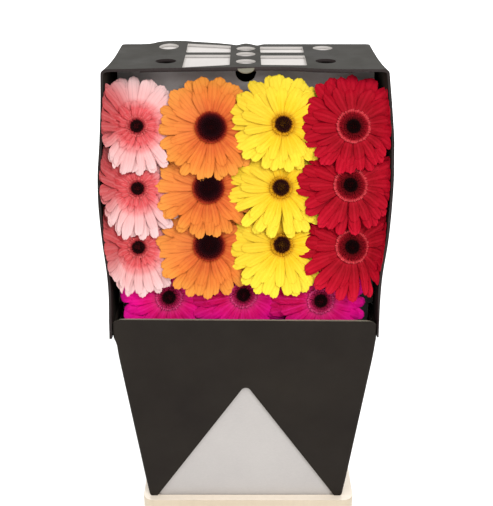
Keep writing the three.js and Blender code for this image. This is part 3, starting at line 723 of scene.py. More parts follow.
def noise(tree, coordinates, scale, detail=4.0, roughness=0.55):
    inputs = {"Vector": coordinates, "Scale": scale, "Detail": detail, "Roughness": roughness}
    return add_node(tree, "TexNoise", inputs).outputs["Fac"]


def object_coordinates(tree, stretch=(1.0, 1.0, 1.0)):
    place = add_node(tree, "TexCoord", {}).outputs["Object"]
    return add_node(tree, "Mapping", {"Vector": place, "Scale": stretch}).outputs["Vector"]


def bump(tree, finish, height, strength, distance):
    made = add_node(tree, "Bump", {"Height": height, "Strength": strength, "Distance": distance})
    feed(finish["Normal"], made.outputs["Normal"])


def board_material(name, colour, mottle, roughness, specular):
    """Coated folding board: a faint mottle, short fibres in the surface, and uneven gloss."""
    material, tree, finish = new_material(name, roughness, specular)
    place = object_coordinates(tree)
    cloud = ramp(tree, noise(tree, place, 9.0, 5.0), ((0.3, 0.0), (0.7, 1.0)))
    fibres = noise(tree, object_coordinates(tree, (1.0, 1.0, 3.5)), 420.0, 3.0, 0.6)
    toned = mix(tree, "MIX", cloud, srgb(colour), srgb(mottle))
    speckled = mix(tree, "MULTIPLY", 0.25, toned, ramp(tree, fibres, ((0.3, 0.72), (0.7, 1.0))))
    feed(finish["Base Color"], speckled)
    gloss = ((0.25, roughness - 0.08), (0.75, roughness + 0.1))
    feed(finish["Roughness"], ramp(tree, noise(tree, place, 30.0, 6.0), gloss))
    bump(tree, finish, fibres, strength=0.35, distance=0.00025)
    return material


def paint_shade_downwards(material, shades):
    """Paints shade into a material by height, darker downwards, for a piece deep inside the carton."""
    tree = material.node_tree
    colour = tree.nodes["Principled BSDF"].inputs["Base Color"]
    place = add_node(tree, "SeparateXYZ", {0: object_coordinates(tree)})
    shade = ramp(tree, place.outputs["Z"], shades)
    feed(colour, mix(tree, "MULTIPLY", 1.0, colour.links[0].from_socket, shade))


def plastic_material(name, darker, lighter):
    """Moulded plastic with a faint orange-peel surface, and light scuffs."""
    material, tree, finish = new_material(name, roughness=0.34, specular=0.45)
    place = object_coordinates(tree)
    colour = ramp(tree, noise(tree, place, 6.0), ((0.3, darker), (0.7, lighter)))
    scuffs = noise(tree, object_coordinates(tree, (1.0, 1.0, 0.18)), 150.0, 5.0, 0.7)
    worn = mix(tree, "MULTIPLY", 0.3, colour, ramp(tree, scuffs, ((0.35, 0.88), (0.55, 1.0))))
    feed(finish["Base Color"], worn)
    feed(finish["Roughness"], ramp(tree, scuffs, ((0.3, 0.5), (0.6, 0.3))))
    bump(tree, finish, noise(tree, place, 260.0, 2.0), strength=0.12, distance=0.0003)
    return material


def petal_material(name, look):
    """Ray petals: colour by distance from the head's centre, painted shade on the left and in the grooves, a
    painted highlight on the ridges, fine veins, and a tone for each.
    """
    material, tree, finish = new_material(name, roughness=0.6, specular=0.06)
    reach = attribute(tree, "reach")
    across = attribute(tree, "across")
    tone = attribute(tree, "tone")
    vein_and_highlight = srgb(look["vein_and_highlight"])
    colour = ramp(tree, reach, look["stops"], "EASE")
    # Painted shade of the side wall on petals that point left
    to_painted_shade = ramp(tree, attribute(tree, "left"), ((0.0, 0.0), (1.0, look["left_shade_share"])))
    colour = mix(tree, "MIX", to_painted_shade, colour, srgb(look["left"]))
    place = add_node(tree, "CombineXYZ", {})
    for socket, value, scale in zip(place.inputs, (reach, across, tone), (5.0, 7.0, 40.0)):
        feed(socket, add_node(tree, "Math", {0: value, 1: scale}, operation="MULTIPLY").outputs[0])
    veins = noise(tree, place.outputs[0], 2.4, 4.0, 0.6)
    colour = mix(tree, "MIX", ramp(tree, veins, ((0.45, 0.0), (0.75, look["vein_share"]))), colour, vein_and_highlight)
    side = add_node(tree, "Math", {0: across}, operation="ABSOLUTE").outputs[0]
    # Painted highlight along each petal's middle ridge, in the veins' colour
    ridge_highlight = ramp(tree, side, ((0.0, look["ridge_highlight_share"]), (0.28, 0.0)), "EASE")
    colour = mix(tree, "MIX", ridge_highlight, colour, vein_and_highlight)
    low = look["groove_shade"]
    # Painted shade in the grooves and at the petals' side edges
    grooves = ((0.0, 0.97), (0.2, 1.0), (GROOVE_PLACE, low), (0.5, 1.0), (0.85, 0.98), (1.0, low))
    colour = mix(tree, "MULTIPLY", 1.0, colour, ramp(tree, side, grooves, "EASE"))
    own = ramp(tree, tone, ((0.0, look["dull"]), (1.0, 1.0)))
    feed(finish["Base Color"], mix(tree, "MULTIPLY", 1.0, colour, own))
    bump(tree, finish, veins, strength=0.3, distance=0.0005)
    return material


def eye_material(name, stops):
    """Packed disc florets, coloured from the centre outwards."""
    material, tree, finish = new_material(name, roughness=0.85, specular=0.06)
    own = ramp(tree, attribute(tree, "tone"), ((0.0, 0.72), (1.0, 1.0)))
    feed(finish["Base Color"], mix(tree, "MULTIPLY", 1.0, ramp(tree, attribute(tree, "reach"), stops), own))
    return material


def green_material(name):
    """Stems and bracts: lengthwise ribs and paler patches, with fine hairs as a sheen."""
    material, tree, finish = new_material(name, roughness=0.5, specular=0.35)
    feed(finish["Sheen Weight"], 0.2)
    along = noise(tree, object_coordinates(tree, (1.0, 1.0, 0.06)), 700.0, 3.0)
    colour = ramp(tree, along, ((0.3, (92, 128, 58)), (0.7, (138, 168, 88))))
    patches = ramp(tree, noise(tree, object_coordinates(tree), 45.0, 3.0), ((0.45, 0.0), (0.8, 0.5)))
    feed(finish["Base Color"], mix(tree, "MIX", patches, colour, srgb((160, 176, 104))))
    bump(tree, finish, along, strength=0.3, distance=0.0004)
    return material


def floor_material(name):
    material, tree, finish = new_material(name, roughness=0.8, specular=0.1)
    cloud = noise(tree, object_coordinates(tree), 3.0, 2.0)
    feed(finish["Base Color"], ramp(tree, cloud, ((0.2, 0.90), (0.8, 0.92))))
    return material


def make_materials():
    made = {"stem_green": green_material("stem_green"), "pale_floor": floor_material("pale_floor")}
    for name, look in BOARDS.items():
        made[name] = board_material(name, *look)
    # Painted shade on the flower card, darker downwards
    paint_shade_downwards(made["grey_board"], CARD_PAINTED_SHADE)
    for name, look in PLASTICS.items():
        made[name] = plastic_material(name, *look)
    for colour in FLOWERS:
        made[f"{colour}_petals"] = petal_material(f"{colour}_petals", PETAL_LOOKS[colour])
        made[f"{colour}_eye"] = eye_material(f"{colour}_eye", EYE_LOOKS[colour])
        made[f"{colour}_collar"] = eye_material(f"{colour}_collar", COLLAR_LOOKS[colour])
    return made


# Bucket

def build_bucket():
    inner_half_width = RIM_HALF_WIDTH - SIDE_FLANGE_WIDTH
    inner_half_depth = HALF_DEPTH - END_FLANGE_WIDTH
    under_flange = RIM_HEIGHT - FLANGE_THICKNESS
    lip_foot = RIM_HEIGHT - RIM_LIP
    shares = np.linspace(0, 1, BUCKET_LEVELS)

    def wall(share, z, swell):
        """A level of the wall at a share of its height, moved outwards by the swell."""
        half_width = between(BASE_HALF_WIDTH, inner_half_width, share) + swell
        half_depth = between(BASE_HALF_DEPTH, inner_half_depth, share) + swell
        radius = between(BASE_RADIUS, RIM_INNER_RADIUS, share) + swell
        return rounded_loop(half_width, half_depth, -half_depth, radius, z)

    def rim(inset, z):
        half_depth = HALF_DEPTH - inset
        return rounded_loop(RIM_HALF_WIDTH - inset, half_depth, -half_depth, RIM_RADIUS - inset, z)

    outside = [wall(share, under_flange * share, BUCKET_WALL * share) for share in shares]
    lip = [(LIP_THICKNESS, under_flange), (LIP_THICKNESS, lip_foot), (0.0, lip_foot), (0.0, RIM_HEIGHT)]
    outside += [rim(inset, z) for inset, z in lip]
    inside = []
    for share in shares[::-1]:
        inside.append(wall(share, between(BUCKET_FLOOR, RIM_HEIGHT, share), BUCKET_WALL * (share - 1)))
    points, faces = loft(outside + inside)
    bucket = make_object("cream_bucket", points + [BUCKET_SHIFT, 0, 0], faces, ["cream_plastic", "lit_rim_top"])
    # The flange's top takes the lighter plastic, painted light from above
    paint_bands(bucket, len(outside[0]), [len(outside) - 1])
    soften_edges(bucket, RIM_BEVEL, angle=35, segments=3)
    add_piece(bucket, "bucket_plastic", "bucket")


# Sleeve and liner

def sleeve_half_width(z):
    """An even flare, then a bend of even curvature until the sides stand upright."""
    flare = np.minimum(z, SLEEVE_BEND_Z) - SLEEVE_FOOT_Z
    bend = SLEEVE_UPRIGHT_Z - SLEEVE_BEND_Z
    share = np.clip((z - SLEEVE_BEND_Z) / bend, 0, 1)
    return SLEEVE_FOOT_HALF_WIDTH + SLEEVE_FLARE * (flare + bend * (share - share ** 2 / 2))


def sleeve_back_y(z):
    share = (z - SLEEVE_FOOT_Z) / (SLEEVE_TOP_Z - SLEEVE_FOOT_Z)
    return between(SLEEVE_FOOT_BACK_Y, SLEEVE_TOP_BACK_Y, share)


def spread_sleeve(x, z):
    """The sleeve isn't square: its top is a little wider than its flare, more so on the left."""
    near_top = smooth_step(*SLEEVE_SPREAD_Z, z)
    spread = np.where(np.less(x, 0), SLEEVE_LEFT_SPREAD, SLEEVE_RIGHT_SPREAD)
    return x * (1 + near_top * spread / sleeve_half_width(z))


def corner_fall(radius, from_side):
    """How far a rounded corner of an edge falls away at a distance from the side."""
    short = np.clip(radius - from_side, 0, radius)
    return radius - np.sqrt(np.clip(radius ** 2 - short ** 2, 0, None))


def sleeve_loop(z, inset):
    """One level of the sleeve. Near its ends it bends, for the front's rounded top corners and feet."""
    half_width = sleeve_half_width(z) - inset
    back_y = sleeve_back_y(z) - inset
    front_y = SLEEVE_FRONT_Y + inset
    steps = (SLEEVE_CORNER_STEPS, SLEEVE_SIDE_STEPS)
    loop = rounded_loop(half_width, back_y, front_y, SLEEVE_FOLD_RADIUS - inset, z, *steps)
    from_side = half_width - np.abs(loop[:, 0])
    loop[:, 0] = spread_sleeve(loop[:, 0], z)
    near_top = smooth_step(SLEEVE_BEND_Z, SLEEVE_TOP_Z, z)
    near_foot = 1 - smooth_step(SLEEVE_FOOT_Z, SLEEVE_FOOT_Z + SLEEVE_FOOT_BEND, z)
    loop[:, 2] += near_foot * corner_fall(SLEEVE_FOOT_CORNER, from_side)
    loop[:, 2] -= near_top * (corner_fall(SLEEVE_CORNER_DROP, from_side) + SLEEVE_TOP_TILT * loop[:, 0])
    return loop


def notch_outline():
    below = SLEEVE_FOOT_Z - CUT_MARGIN
    half = NOTCH_SLOPE * (NOTCH_APEX_Z - below)
    side = math.atan(NOTCH_SLOPE)
    arc_z = NOTCH_APEX_Z - NOTCH_RADIUS / math.sin(side)
    angle = np.linspace(side, math.pi - side, NOTCH_ARC_STEPS)
    arc = stack(NOTCH_RADIUS * np.cos(angle), arc_z + NOTCH_RADIUS * np.sin(angle))
    return np.concatenate([[[-half, below], [half, below]], arc])


def build_sleeve():
    heights = np.linspace(SLEEVE_FOOT_Z, SLEEVE_TOP_Z, SLEEVE_LEVELS)
    outer = [sleeve_loop(z, 0.0) for z in heights]
    inner = [sleeve_loop(z, SLEEVE_BOARD) for z in heights[::-1]]
    points, faces = loft(outer + inner, ring=True)
    sleeve = make_object("black_sleeve", points, faces, ["black_board", "board_edge"])
    paint_bands(sleeve, len(outer[0]), [SLEEVE_LEVELS - 1, 2 * SLEEVE_LEVELS - 1])
    low = -SLEEVE_FRONT_Y - 2 * SLEEVE_BOARD
    carve(sleeve, [notch_outline()], low, low + 3 * SLEEVE_BOARD, upright, 1)
    soften_edges(sleeve, CARTON_BEVEL, edge_material=1)
    for face in sleeve.data.polygons:
        if face.center.y > SLEEVE_FRONT_Y + 2 * SLEEVE_BOARD:
            face.material_index = 0
    add_piece(sleeve, "black_board", "outer_sleeve")


def liner_loop(z, board):
    """One level of the liner: straight to the waist and to the sleeve's bend, then the sleeve's shape."""
    inset = SLEEVE_BOARD + GAP
    front = SLEEVE_FRONT_Y + inset
    heights = (LINER_FOOT_Z, LINER_WAIST_Z, max(z, SLEEVE_BEND_Z))
    top_width = sleeve_half_width(heights[2]) - inset
    top_back = sleeve_back_y(heights[2]) - inset
    half_width = np.interp(z, heights, (LINER_FOOT_HALF_WIDTH, LINER_WAIST_HALF_WIDTH, top_width))
    back_y = np.interp(z, heights, (LINER_FOOT_HALF_DEPTH, -front, top_back))
    front_y = np.interp(z, heights, (-LINER_FOOT_HALF_DEPTH, front, front))
    return rounded_loop(half_width - board, back_y - board, front_y + board, LINER_RADIUS - board, z)


def build_liner():
    """Pale outside, where the cut-out shows it. Black inside and on its top edge: partly the board's darker
    back, partly painted shade inside the carton.
    """
    heights = np.concatenate([
        np.linspace(LINER_FOOT_Z, LINER_WAIST_Z, LINER_FOOT_LEVELS)[:-1],
        np.linspace(LINER_WAIST_Z, SLEEVE_BEND_Z, LINER_FLARE_LEVELS)[:-1],
        np.linspace(SLEEVE_BEND_Z, SLEEVE_UPRIGHT_Z, LINER_BEND_LEVELS),
    ])
    outer = [liner_loop(z, 0.0) for z in heights]
    inner = [liner_loop(z, LINER_BOARD) for z in heights[::-1]]
    points, faces = loft(outer + inner, ring=True)
    liner = make_object("pale_liner", points, faces, ["pale_board", "black_board"])
    top_band = len(heights) - 1
    # Inside and top edge in black board, as painted shade inside the carton
    paint_bands(liner, len(outer[0]), range(top_band, top_band + len(heights)))
    soften_edges(liner, CARTON_BEVEL)
    add_piece(liner, "pale_board", "inner_liner")


# Hood

def front_half_width(z, side):
    """Half width at the free front edge of the wall on a side, below or above 0."""
    heights, left, right = zip(*WALL_EDGES)
    return np.where(np.less(side, 0), smooth_line(heights, left, z), smooth_line(heights, right, z))


def opening_y(z):
    share = (np.maximum(z, SLEEVE_TOP_Z) - SLEEVE_TOP_Z) / (LID_TOP_Z - SLEEVE_TOP_Z)
    return between(SLEEVE_FRONT_Y, LID_FRONT_Y, share)


def sleeve_top_side(side):
    """How far out the sleeve's top reaches on a side."""
    return np.abs(spread_sleeve(np.sign(side) * sleeve_half_width(SLEEVE_TOP_Z), SLEEVE_TOP_Z))


def wall_section(depth, side, inside):
    """One side wall's line from foot to shoulder at a share of the depth."""
    z = np.linspace(HOOD_FOOT_Z, LID_TOP_Z - SHOULDER_DROP, HOOD_LEVELS)
    back = between(HOOD_FOOT_HALF_WIDTH, LID_HALF_WIDTH, (z - HOOD_FOOT_Z) / (LID_TOP_Z - HOOD_FOOT_Z))
    half = between(back, front_half_width(z, side), (1 - depth) ** BOW_FADE)
    if inside:
        half = np.maximum(half - HOOD_BOARD, sleeve_top_side(side) + GAP)
    y = between(opening_y(z), HALF_DEPTH, depth)
    if side < 0:
        z = z - LEFT_FOOT_DROP * (1 - smooth_step(HOOD_FOOT_Z, SLEEVE_TOP_Z, z))
    return stack(side * half, y, z)


def lid_front_y(x):
    return LID_FRONT_Y + smooth_line(*zip(*LID_RECESS), x)


def lid_crown(x):
    return smooth_line(*zip(*LID_CROWN), x)


def lid_height(x, y):
    """The lid's top: level, but for the bulge and the ripples that grow towards its back edge."""
    bulge = np.clip((y - CROWN_START_Y) / (HALF_DEPTH - CROWN_START_Y), 0, 1)
    near_back = 1 - np.clip((HALF_DEPTH - y) / LID_RIPPLE_RUN, 0, 1)
    ripples = sum(up * np.exp(-((x - place) / LID_RIPPLE_WIDTH) ** 2) for place, up in LID_RIPPLES)
    return LID_TOP_Z + lid_crown(x) * bulge + ripples * near_back ** 2


def hood_section(depth, inside):
    """The hood's line from the left wall's foot over the lid to the right wall's foot."""
    board = HOOD_BOARD if inside else 0.0
    edge_x = LID_HALF_WIDTH - board
    edge_y = between(LID_FRONT_Y, HALF_DEPTH, depth)
    lid_x = np.linspace(-edge_x, edge_x, HOOD_LID_STEPS + 1)
    lid_y = between(lid_front_y(lid_x), HALF_DEPTH, depth)
    lid_z = lid_height(lid_x, lid_y) - board
    share = np.linspace(0, 1, HOOD_FOLD_STEPS + 1)[1:-1]

    def wall_and_fold(side):
        wall = wall_section(depth, side, inside)
        x, y, z = wall[-1]
        fold_x = between(x, side * edge_x, share ** 2)
        fold_z = between(lid_z[0], z, (1 - share) ** 2)
        return np.concatenate([wall, stack(fold_x, between(y, edge_y, share), fold_z)])

    return np.concatenate([wall_and_fold(-1), stack(lid_x, lid_y, lid_z), wall_and_fold(1)[::-1]])


def window_outlines():
    return [rounded_polygon(np.array(corners) + [0, LID_FRONT_Y], WINDOW_CORNER) for corners in WINDOWS]


def lid_holes(places, radius):
    return [circle(x, LID_FRONT_Y + depth, radius, HOLE_STEPS) for x, depth in places]


def tab_outline():
    angle = np.linspace(math.pi, 2 * math.pi, TAB_STEPS)
    return stack(TAB_HALF_WIDTH * np.cos(angle), TAB_LENGTH * np.sin(angle))


def on_tab(points):
    """The tab's plate, tipped down from the lid's front edge."""
    x, y, z = np.moveaxis(points, -1, 0)
    tipped_y, tipped_z = turned(y, z, TAB_SLOPE)
    return stack(x, float(lid_front_y(0.0)) + TAB_ROOT + tipped_y, LID_TOP_Z - GAP + tipped_z)


def back_outline():
    """The back ends inside the lid's board, below its bulge."""
    foot = HOOD_FOOT_HALF_WIDTH - BACK_SINK
    x = np.linspace(LID_HALF_WIDTH - BACK_SINK, BACK_SINK - LID_HALF_WIDTH, HOOD_LID_STEPS)
    top = stack(x, LID_TOP_Z + lid_crown(x) - BACK_INTO_LID)
    low_z = HOOD_FOOT_Z + BACK_SINK
    return np.concatenate([[[-foot, low_z], [foot, low_z]], top])


def corner_outline(side):
    """What a back corner loses to its rounding, seen from above."""
    centre_x = side * (HOOD_FOOT_HALF_WIDTH - HOOD_CORNER_RADIUS)
    centre_y = HALF_DEPTH - HOOD_CORNER_RADIUS
    angle = np.linspace(0, math.pi / 2, HOOD_CORNER_STEPS)
    arc = stack(side * HOOD_CORNER_RADIUS * np.cos(angle), HOOD_CORNER_RADIUS * np.sin(angle))
    outer_x = side * (HOOD_FOOT_HALF_WIDTH + CUT_MARGIN)
    outer_y = HALF_DEPTH + CUT_MARGIN
    beyond = [[centre_x, outer_y], [outer_x, outer_y], [outer_x, centre_y]]
    outline = np.concatenate([arc + [centre_x, centre_y], beyond])
    return outline[::-1] if side > 0 else outline


def paint_hood(hood, rows, columns, index_of):
    """The lid's outside, in a lighter board for painted light from above, the rest of the board, and its cut
    edges.
    """
    row = np.repeat(np.arange(rows - 1), columns - 1)
    wall_rows = HOOD_LEVELS + HOOD_FOLD_STEPS - 2
    is_wall = (row < wall_rows) | (row > rows - 2 - wall_rows)
    outside = np.where(is_wall, index_of("black_board"), index_of("lid_board"))
    inside = np.full(len(row), index_of("black_board"))
    edges = np.full(len(hood.data.polygons) - 2 * len(row), index_of("hood_edge"))
    paint(hood, np.concatenate([outside, inside, edges]))


def build_hood():
    depths = np.linspace(0, 1, HOOD_DEPTH_STEPS + 1)
    outer = np.stack([hood_section(depth, False) for depth in depths], 1)
    inner = np.stack([hood_section(depth, True) for depth in depths], 1)
    rows, columns = outer.shape[:2]
    finishes = ["lid_board", "hood_edge", "lit_window_edge", "black_board", "board_edge"]
    index_of = finishes.index
    hood = make_object("black_hood", [outer, inner], shell_faces(rows, columns), finishes)
    paint_hood(hood, rows, columns, index_of)
    back = GAP - HALF_DEPTH
    carve(hood, [back_outline()], back, back + HOOD_BOARD, upright, index_of("black_board"), "UNION")
    carve(hood, [tab_outline()], -TAB_BOARD, 0.0, on_tab, index_of("board_edge"), "UNION")
    high = LID_TOP_Z + 2 * CUT_MARGIN
    corners = [corner_outline(side) for side in (-1, 1)]
    carve(hood, corners, HOOD_FOOT_Z - CUT_MARGIN, high, as_drawn, index_of("black_board"))
    low = LID_TOP_Z - 2 * HOOD_BOARD
    pale = window_outlines() + lid_holes(PALE_HOLES, HOLE_RADIUS)
    pale += lid_holes(CENTRE_HOLES, CENTRE_HOLE_RADIUS)
    # Their cut walls take painted light, lighter than the pale board
    carve(hood, pale, low, high, as_drawn, index_of("lit_window_edge"))
    carve(hood, lid_holes(DARK_HOLES, HOLE_RADIUS), low, high, as_drawn, index_of("hood_edge"))
    soften_edges(hood, HOOD_BEVEL, angle=45)
    add_piece(hood, "black_board", "hood")


def build_lid_liner():
    """A pale sheet that follows the lid's underside, with dark cut edges."""
    x = np.linspace(-LID_LINER_HALF_WIDTH, LID_LINER_HALF_WIDTH, LID_LINER_STEPS + 1)[:, None]
    front = lid_front_y(x) + LID_LINER_FRONT_INSET
    back = HALF_DEPTH - HOOD_BOARD - LID_LINER_BACK_INSET
    y = between(front, back, np.linspace(0, 1, LID_LINER_DEPTH_STEPS + 1))
    top = lid_height(x, y) - HOOD_BOARD - GAP
    layers = [stack(x, y, top - drop) for drop in (0.0, LID_LINER_BOARD)]
    sheet = make_object("pale_lid_liner", layers, shell_faces(*y.shape), ["pale_board", "hood_edge"])
    faces_above_and_below = 2 * LID_LINER_STEPS * LID_LINER_DEPTH_STEPS
    paint(sheet, np.arange(len(sheet.data.polygons)) >= faces_above_and_below)
    holes = lid_holes(DARK_HOLES, LID_LINER_HOLE_RADIUS)
    carve(sheet, holes, LID_TOP_Z - 3 * HOOD_BOARD, LID_TOP_Z, as_drawn, 1)
    soften_edges(sheet, SHEET_BEVEL)
    add_piece(sheet, "pale_board", "lid_liner")


# The leaning face, and the heads' places on it

def height_on_face(up, out):
    return LID_TOP_Z + up * math.cos(LEAN) + out * math.sin(LEAN)


def face_to_world(points):
    """From the leaning face's axes, across, up and out, to the row frame."""
    x, up, out = np.moveaxis(points, -1, 0)
    return stack(x, LID_FRONT_Y + up * math.sin(LEAN) - out * math.cos(LEAN), height_on_face(up, out))


def room_at(z, side):
    """The room for petals on a side: the hood's, and below its foot the narrower liner's."""
    hood = np.maximum(front_half_width(z, side) - HOOD_BOARD, sleeve_half_width(SLEEVE_TOP_Z) + GAP)
    liner = sleeve_half_width(z) - SLEEVE_BOARD - GAP - LINER_BOARD
    return between(liner, hood, smooth_step(SLEEVE_TOP_Z, ROOM_WIDENS_TO_Z, z))


def bend_at_wall(points):
    """Petals near a side wall bend forward along it. The points are in the leaning face's axes."""
    x, up, out = np.moveaxis(points, -1, 0)
    room = room_at(height_on_face(up, out), x)
    start = room - PETAL_WALL_GAP - BEND_RADIUS * math.sin(BEND_ANGLE) - BEND_RUN
    along = np.maximum(np.abs(x) - start, 0)
    angle = np.minimum(along / BEND_RADIUS, BEND_ANGLE)
    straight = np.maximum(along - BEND_RADIUS * BEND_ANGLE, 0)
    across, forward = turned(straight, out - BEND_REFERENCE, angle)
    across = start + across + BEND_RADIUS * np.sin(angle)
    forward = BEND_REFERENCE + forward + BEND_RADIUS * (1 - np.cos(angle))
    beyond = np.maximum(across - room + WALL_CLEARANCE + PILE_DEPTH, 0)
    across = across - beyond + PILE_DEPTH * np.tanh(beyond / PILE_DEPTH)
    return np.where((along > 0)[..., None], stack(np.sign(x) * across, up, forward), points)


def press_at_wall(points):
    """The front row has no room to bend forward, so its petals are only pressed together at the wall."""
    x, up, out = np.moveaxis(points, -1, 0)
    start = room_at(height_on_face(up, out), x) - PETAL_WALL_GAP - PRESS_RUN
    along = np.maximum(np.abs(x) - start, 0)
    pressed = stack(np.sign(x) * (start + PRESS_RUN * np.tanh(along / PRESS_RUN)), up, out)
    return np.where((along > 0)[..., None], pressed, points)


def dish_at(radius):
    return DISH * np.sin(math.pi * radius / DISH_SPAN)


def head_at(colour, place, x, row, down_turn, fit):
    name = f"{colour}_{place}"
    across, up, above, below = HEAD_FITS[name]
    turn = Matrix.Rotation(down_turn, 3, "X") @ Matrix.Rotation(SIDE_TURN, 3, "Y")
    return {
        "name": name,
        "colour": colour,
        "turn": np.array(turn),
        "centre": np.array([x + across, up - row["down"], row["out"]]),
        "foot": np.array([x * FOOT_SPREAD, row["foot_y"], BUCKET_FLOOR]),
        "fit": fit,
        "longer": (above, below),
    }


def head_list():
    heads = []
    for colour, x in COLUMNS.items():
        for place, row in ROWS.items():
            heads.append(head_at(colour, place, x, row, DOWN_TURN, bend_at_wall))
    for place, x in FRONT_ROW_PLACES.items():
        heads.append(head_at("magenta", place, x, FRONT_ROW, FRONT_ROW_TURN, press_at_wall))
    return heads


def on_face(head, points):
    """From a head's own axes to the leaning face's."""
    return points @ head["turn"].T + head["centre"]


def place_on_face(head, points):
    """From a head's own axes to the row frame, bent where it meets a wall."""
    return face_to_world(head["fit"](on_face(head, points)))


# Petals: u runs along a petal from its root to its tip, and v across it from -1 to 1

def draw_directions(rng, count, jitter):
    """Even directions with some jitter, and a function that draws a value for each petal of the ring."""
    def draw(low, high):
        return rng.uniform(low, high, count)[:, None, None]

    places = np.arange(count)[:, None, None] + draw(-jitter, jitter) + rng.uniform(0, 1)
    return places * 2 * math.pi / count, draw


def closed_sheets(radial, side, azimuth, height, thickness, *fields):
    """Points (petal, upper or lower side, along, across, 3) of closed sheets, and the fields' values."""
    x, y = turned(radial, side, azimuth)
    points = np.stack([stack(x, y, height + thickness / 2), stack(x, y, height - thickness / 2)], 1)
    return points, [np.stack([np.broadcast_to(field, x.shape)] * 2, 1) for field in fields]


def ray_petals(rng, flower, whorl, longer):
    """One whorl's petals in the head's axes, with their reach, place across, and tone."""
    count, reach, whorl_width, rise = whorl
    start = flower["collar"] - PETAL_UNDER_COLLAR
    u = 1 - (1 - np.linspace(0, 1, PETAL_ALONG_STEPS)[None, :, None]) ** PETAL_TIP_CROWDING
    v = PETAL_ACROSS[None, None, :]

    azimuth, draw = draw_directions(rng, count, PETAL_JITTER)
    above, below = longer
    own_way = above * np.maximum(np.sin(azimuth), 0) + below * np.maximum(-np.sin(azimuth), 0)
    own_way = own_way + PETAL_LONGER_LEFT * np.maximum(-np.cos(azimuth), 0)
    length = (HEAD_RADIUS * reach - start) * draw(*PETAL_LENGTHS) + own_way * reach ** 2
    width = whorl_width * draw(*PETAL_WIDTHS) * (1 + PETAL_WIDER_ABOVE * np.sin(azimuth))
    sway = draw(*PETAL_SWAYS) * u ** 2
    arch = draw(*PETAL_ARCHES) * np.sin(math.pi * u)
    droop = draw(*PETAL_DROOPS) * smooth_step(0.6, 1.0, u) ** 2
    roll = draw(*PETAL_ROLLS) + draw(*PETAL_TWISTS) * u ** 2
    crown = draw(*PETAL_CROWNS) * smooth_step(0, 0.4, u)
    wave = WAVE_HEIGHT * np.sin(u * draw(*PETAL_WAVES) + draw(0, 2 * math.pi)) * v * u
    tone = draw(0, 1)

    widening = between(PETAL_BASE_SHARE, 1, smooth_step(0.0, 0.55, u))
    half = width / 2 * widening * (1 - 0.08 * smooth_step(0.78, 1.0, u))
    rounding = width / 2 * flower["point"] * (1 - np.sqrt(1 - 0.97 * v ** 2)) * u ** 5
    teeth = TEETH_DEPTH * (1 - np.cos(3 * math.pi * v)) * u ** 12
    radial = start + length * u - rounding - teeth
    in_groove = np.exp(-((np.abs(v) - GROOVE_PLACE) / GROOVE_WIDTH) ** 2) * smooth_step(0.05, 0.3, u)
    height = rise + arch - droop + roll * half * v - crown * v ** 2 - GROOVE_DEPTH * in_groove + wave
    thickness = PETAL_THICKNESS * (1 - 0.7 * np.abs(v) ** 3) * (1 - 0.6 * u ** 4)
    height = height + dish_at(radial)
    return closed_sheets(radial, half * v + sway, azimuth, height, thickness, radial / HEAD_RADIUS, v, tone)


def left_shade_share(points):
    """How far a petal belongs to the left of its head, and so takes the painted shade, from 0 to 1."""
    x, y = points[:, 0], points[:, 1]
    radius = np.hypot(x, y)
    nearness = (x * math.cos(SHADE_DIRECTION) + y * math.sin(SHADE_DIRECTION)) / radius
    return smooth_step(*SHADE_NEARNESS, nearness) * smooth_step(*SHADE_REACH, radius / HEAD_RADIUS)


def join_sheets(groups):
    """Points, faces and flat point values of closed sheets of one or more grid sizes."""
    parts = [(sheet, shell_faces(*sheet.shape[1:3])) for sheets, _ in groups for sheet in sheets]
    kept = zip(*(fields for _, fields in groups))
    values = [np.concatenate([part.ravel() for part in field]) for field in kept]
    return *joined(parts), values


def build_rays(head, rng):
    colour = head["colour"]
    flower = FLOWERS[colour]
    whorls = [ray_petals(rng, flower, whorl, head["longer"]) for whorl in flower["whorls"]]
    points, faces, (reach, across, tone) = join_sheets(whorls)
    rays = make_object(f"{head['name']}_rays", place_on_face(head, points), faces, [f"{colour}_petals"])
    # Painted shade on the left petals, but for the head whose left petals stand in the light
    left = left_shade_share(points) * (head["name"] != HEAD_WITHOUT_SHADE)
    set_attributes(rays, reach=reach, across=across, tone=tone, left=left)
    add_piece(rays, f"{colour}_petals", f"{head['name']}_petals")


# Eyes

def dome_height(flower):
    return DOME_FOOT + DOME_SLOPE * flower["eye"]


def collar_florets(rng, flower, share, rings):
    """One ring of short florets, leaning outwards. Their reach runs from 0 at the eye to 1 at the petals."""
    eye = flower["eye"]
    width = flower["collar"] - eye
    tip = eye + width * share
    start = max(tip - max(2 * width / rings, SHORTEST_FLORET), 0.7 * eye)
    u = np.linspace(0, 1, 6)[None, :, None]
    v = np.array([-1.0, 0.0, 1.0])[None, None, :]

    azimuth, draw = draw_directions(rng, round(2 * math.pi * tip / FLORET_PITCH), FLORET_JITTER)
    length = (tip - start) * draw(*FLORET_LENGTHS)
    half = draw(*FLORET_HALF_WIDTHS) * (0.6 + 0.4 * np.sin(math.pi * np.clip(u * 1.1, 0, 1)))
    radial = start + length * (u - 0.12 * np.abs(v) * u ** 3)
    stand = draw(*FLORET_STANDS) * np.sin(u * 2.2)
    height = FLORET_HEIGHT - COLLAR_FALL * share + stand - FLORET_CURL * v ** 2 + dish_at(radial)
    side = half * v + draw(*FLORET_SWAYS) * u
    reach = (radial - eye) / width
    return closed_sheets(radial, side, azimuth, height, FLORET_THICKNESS, reach, v, draw(0, 1))


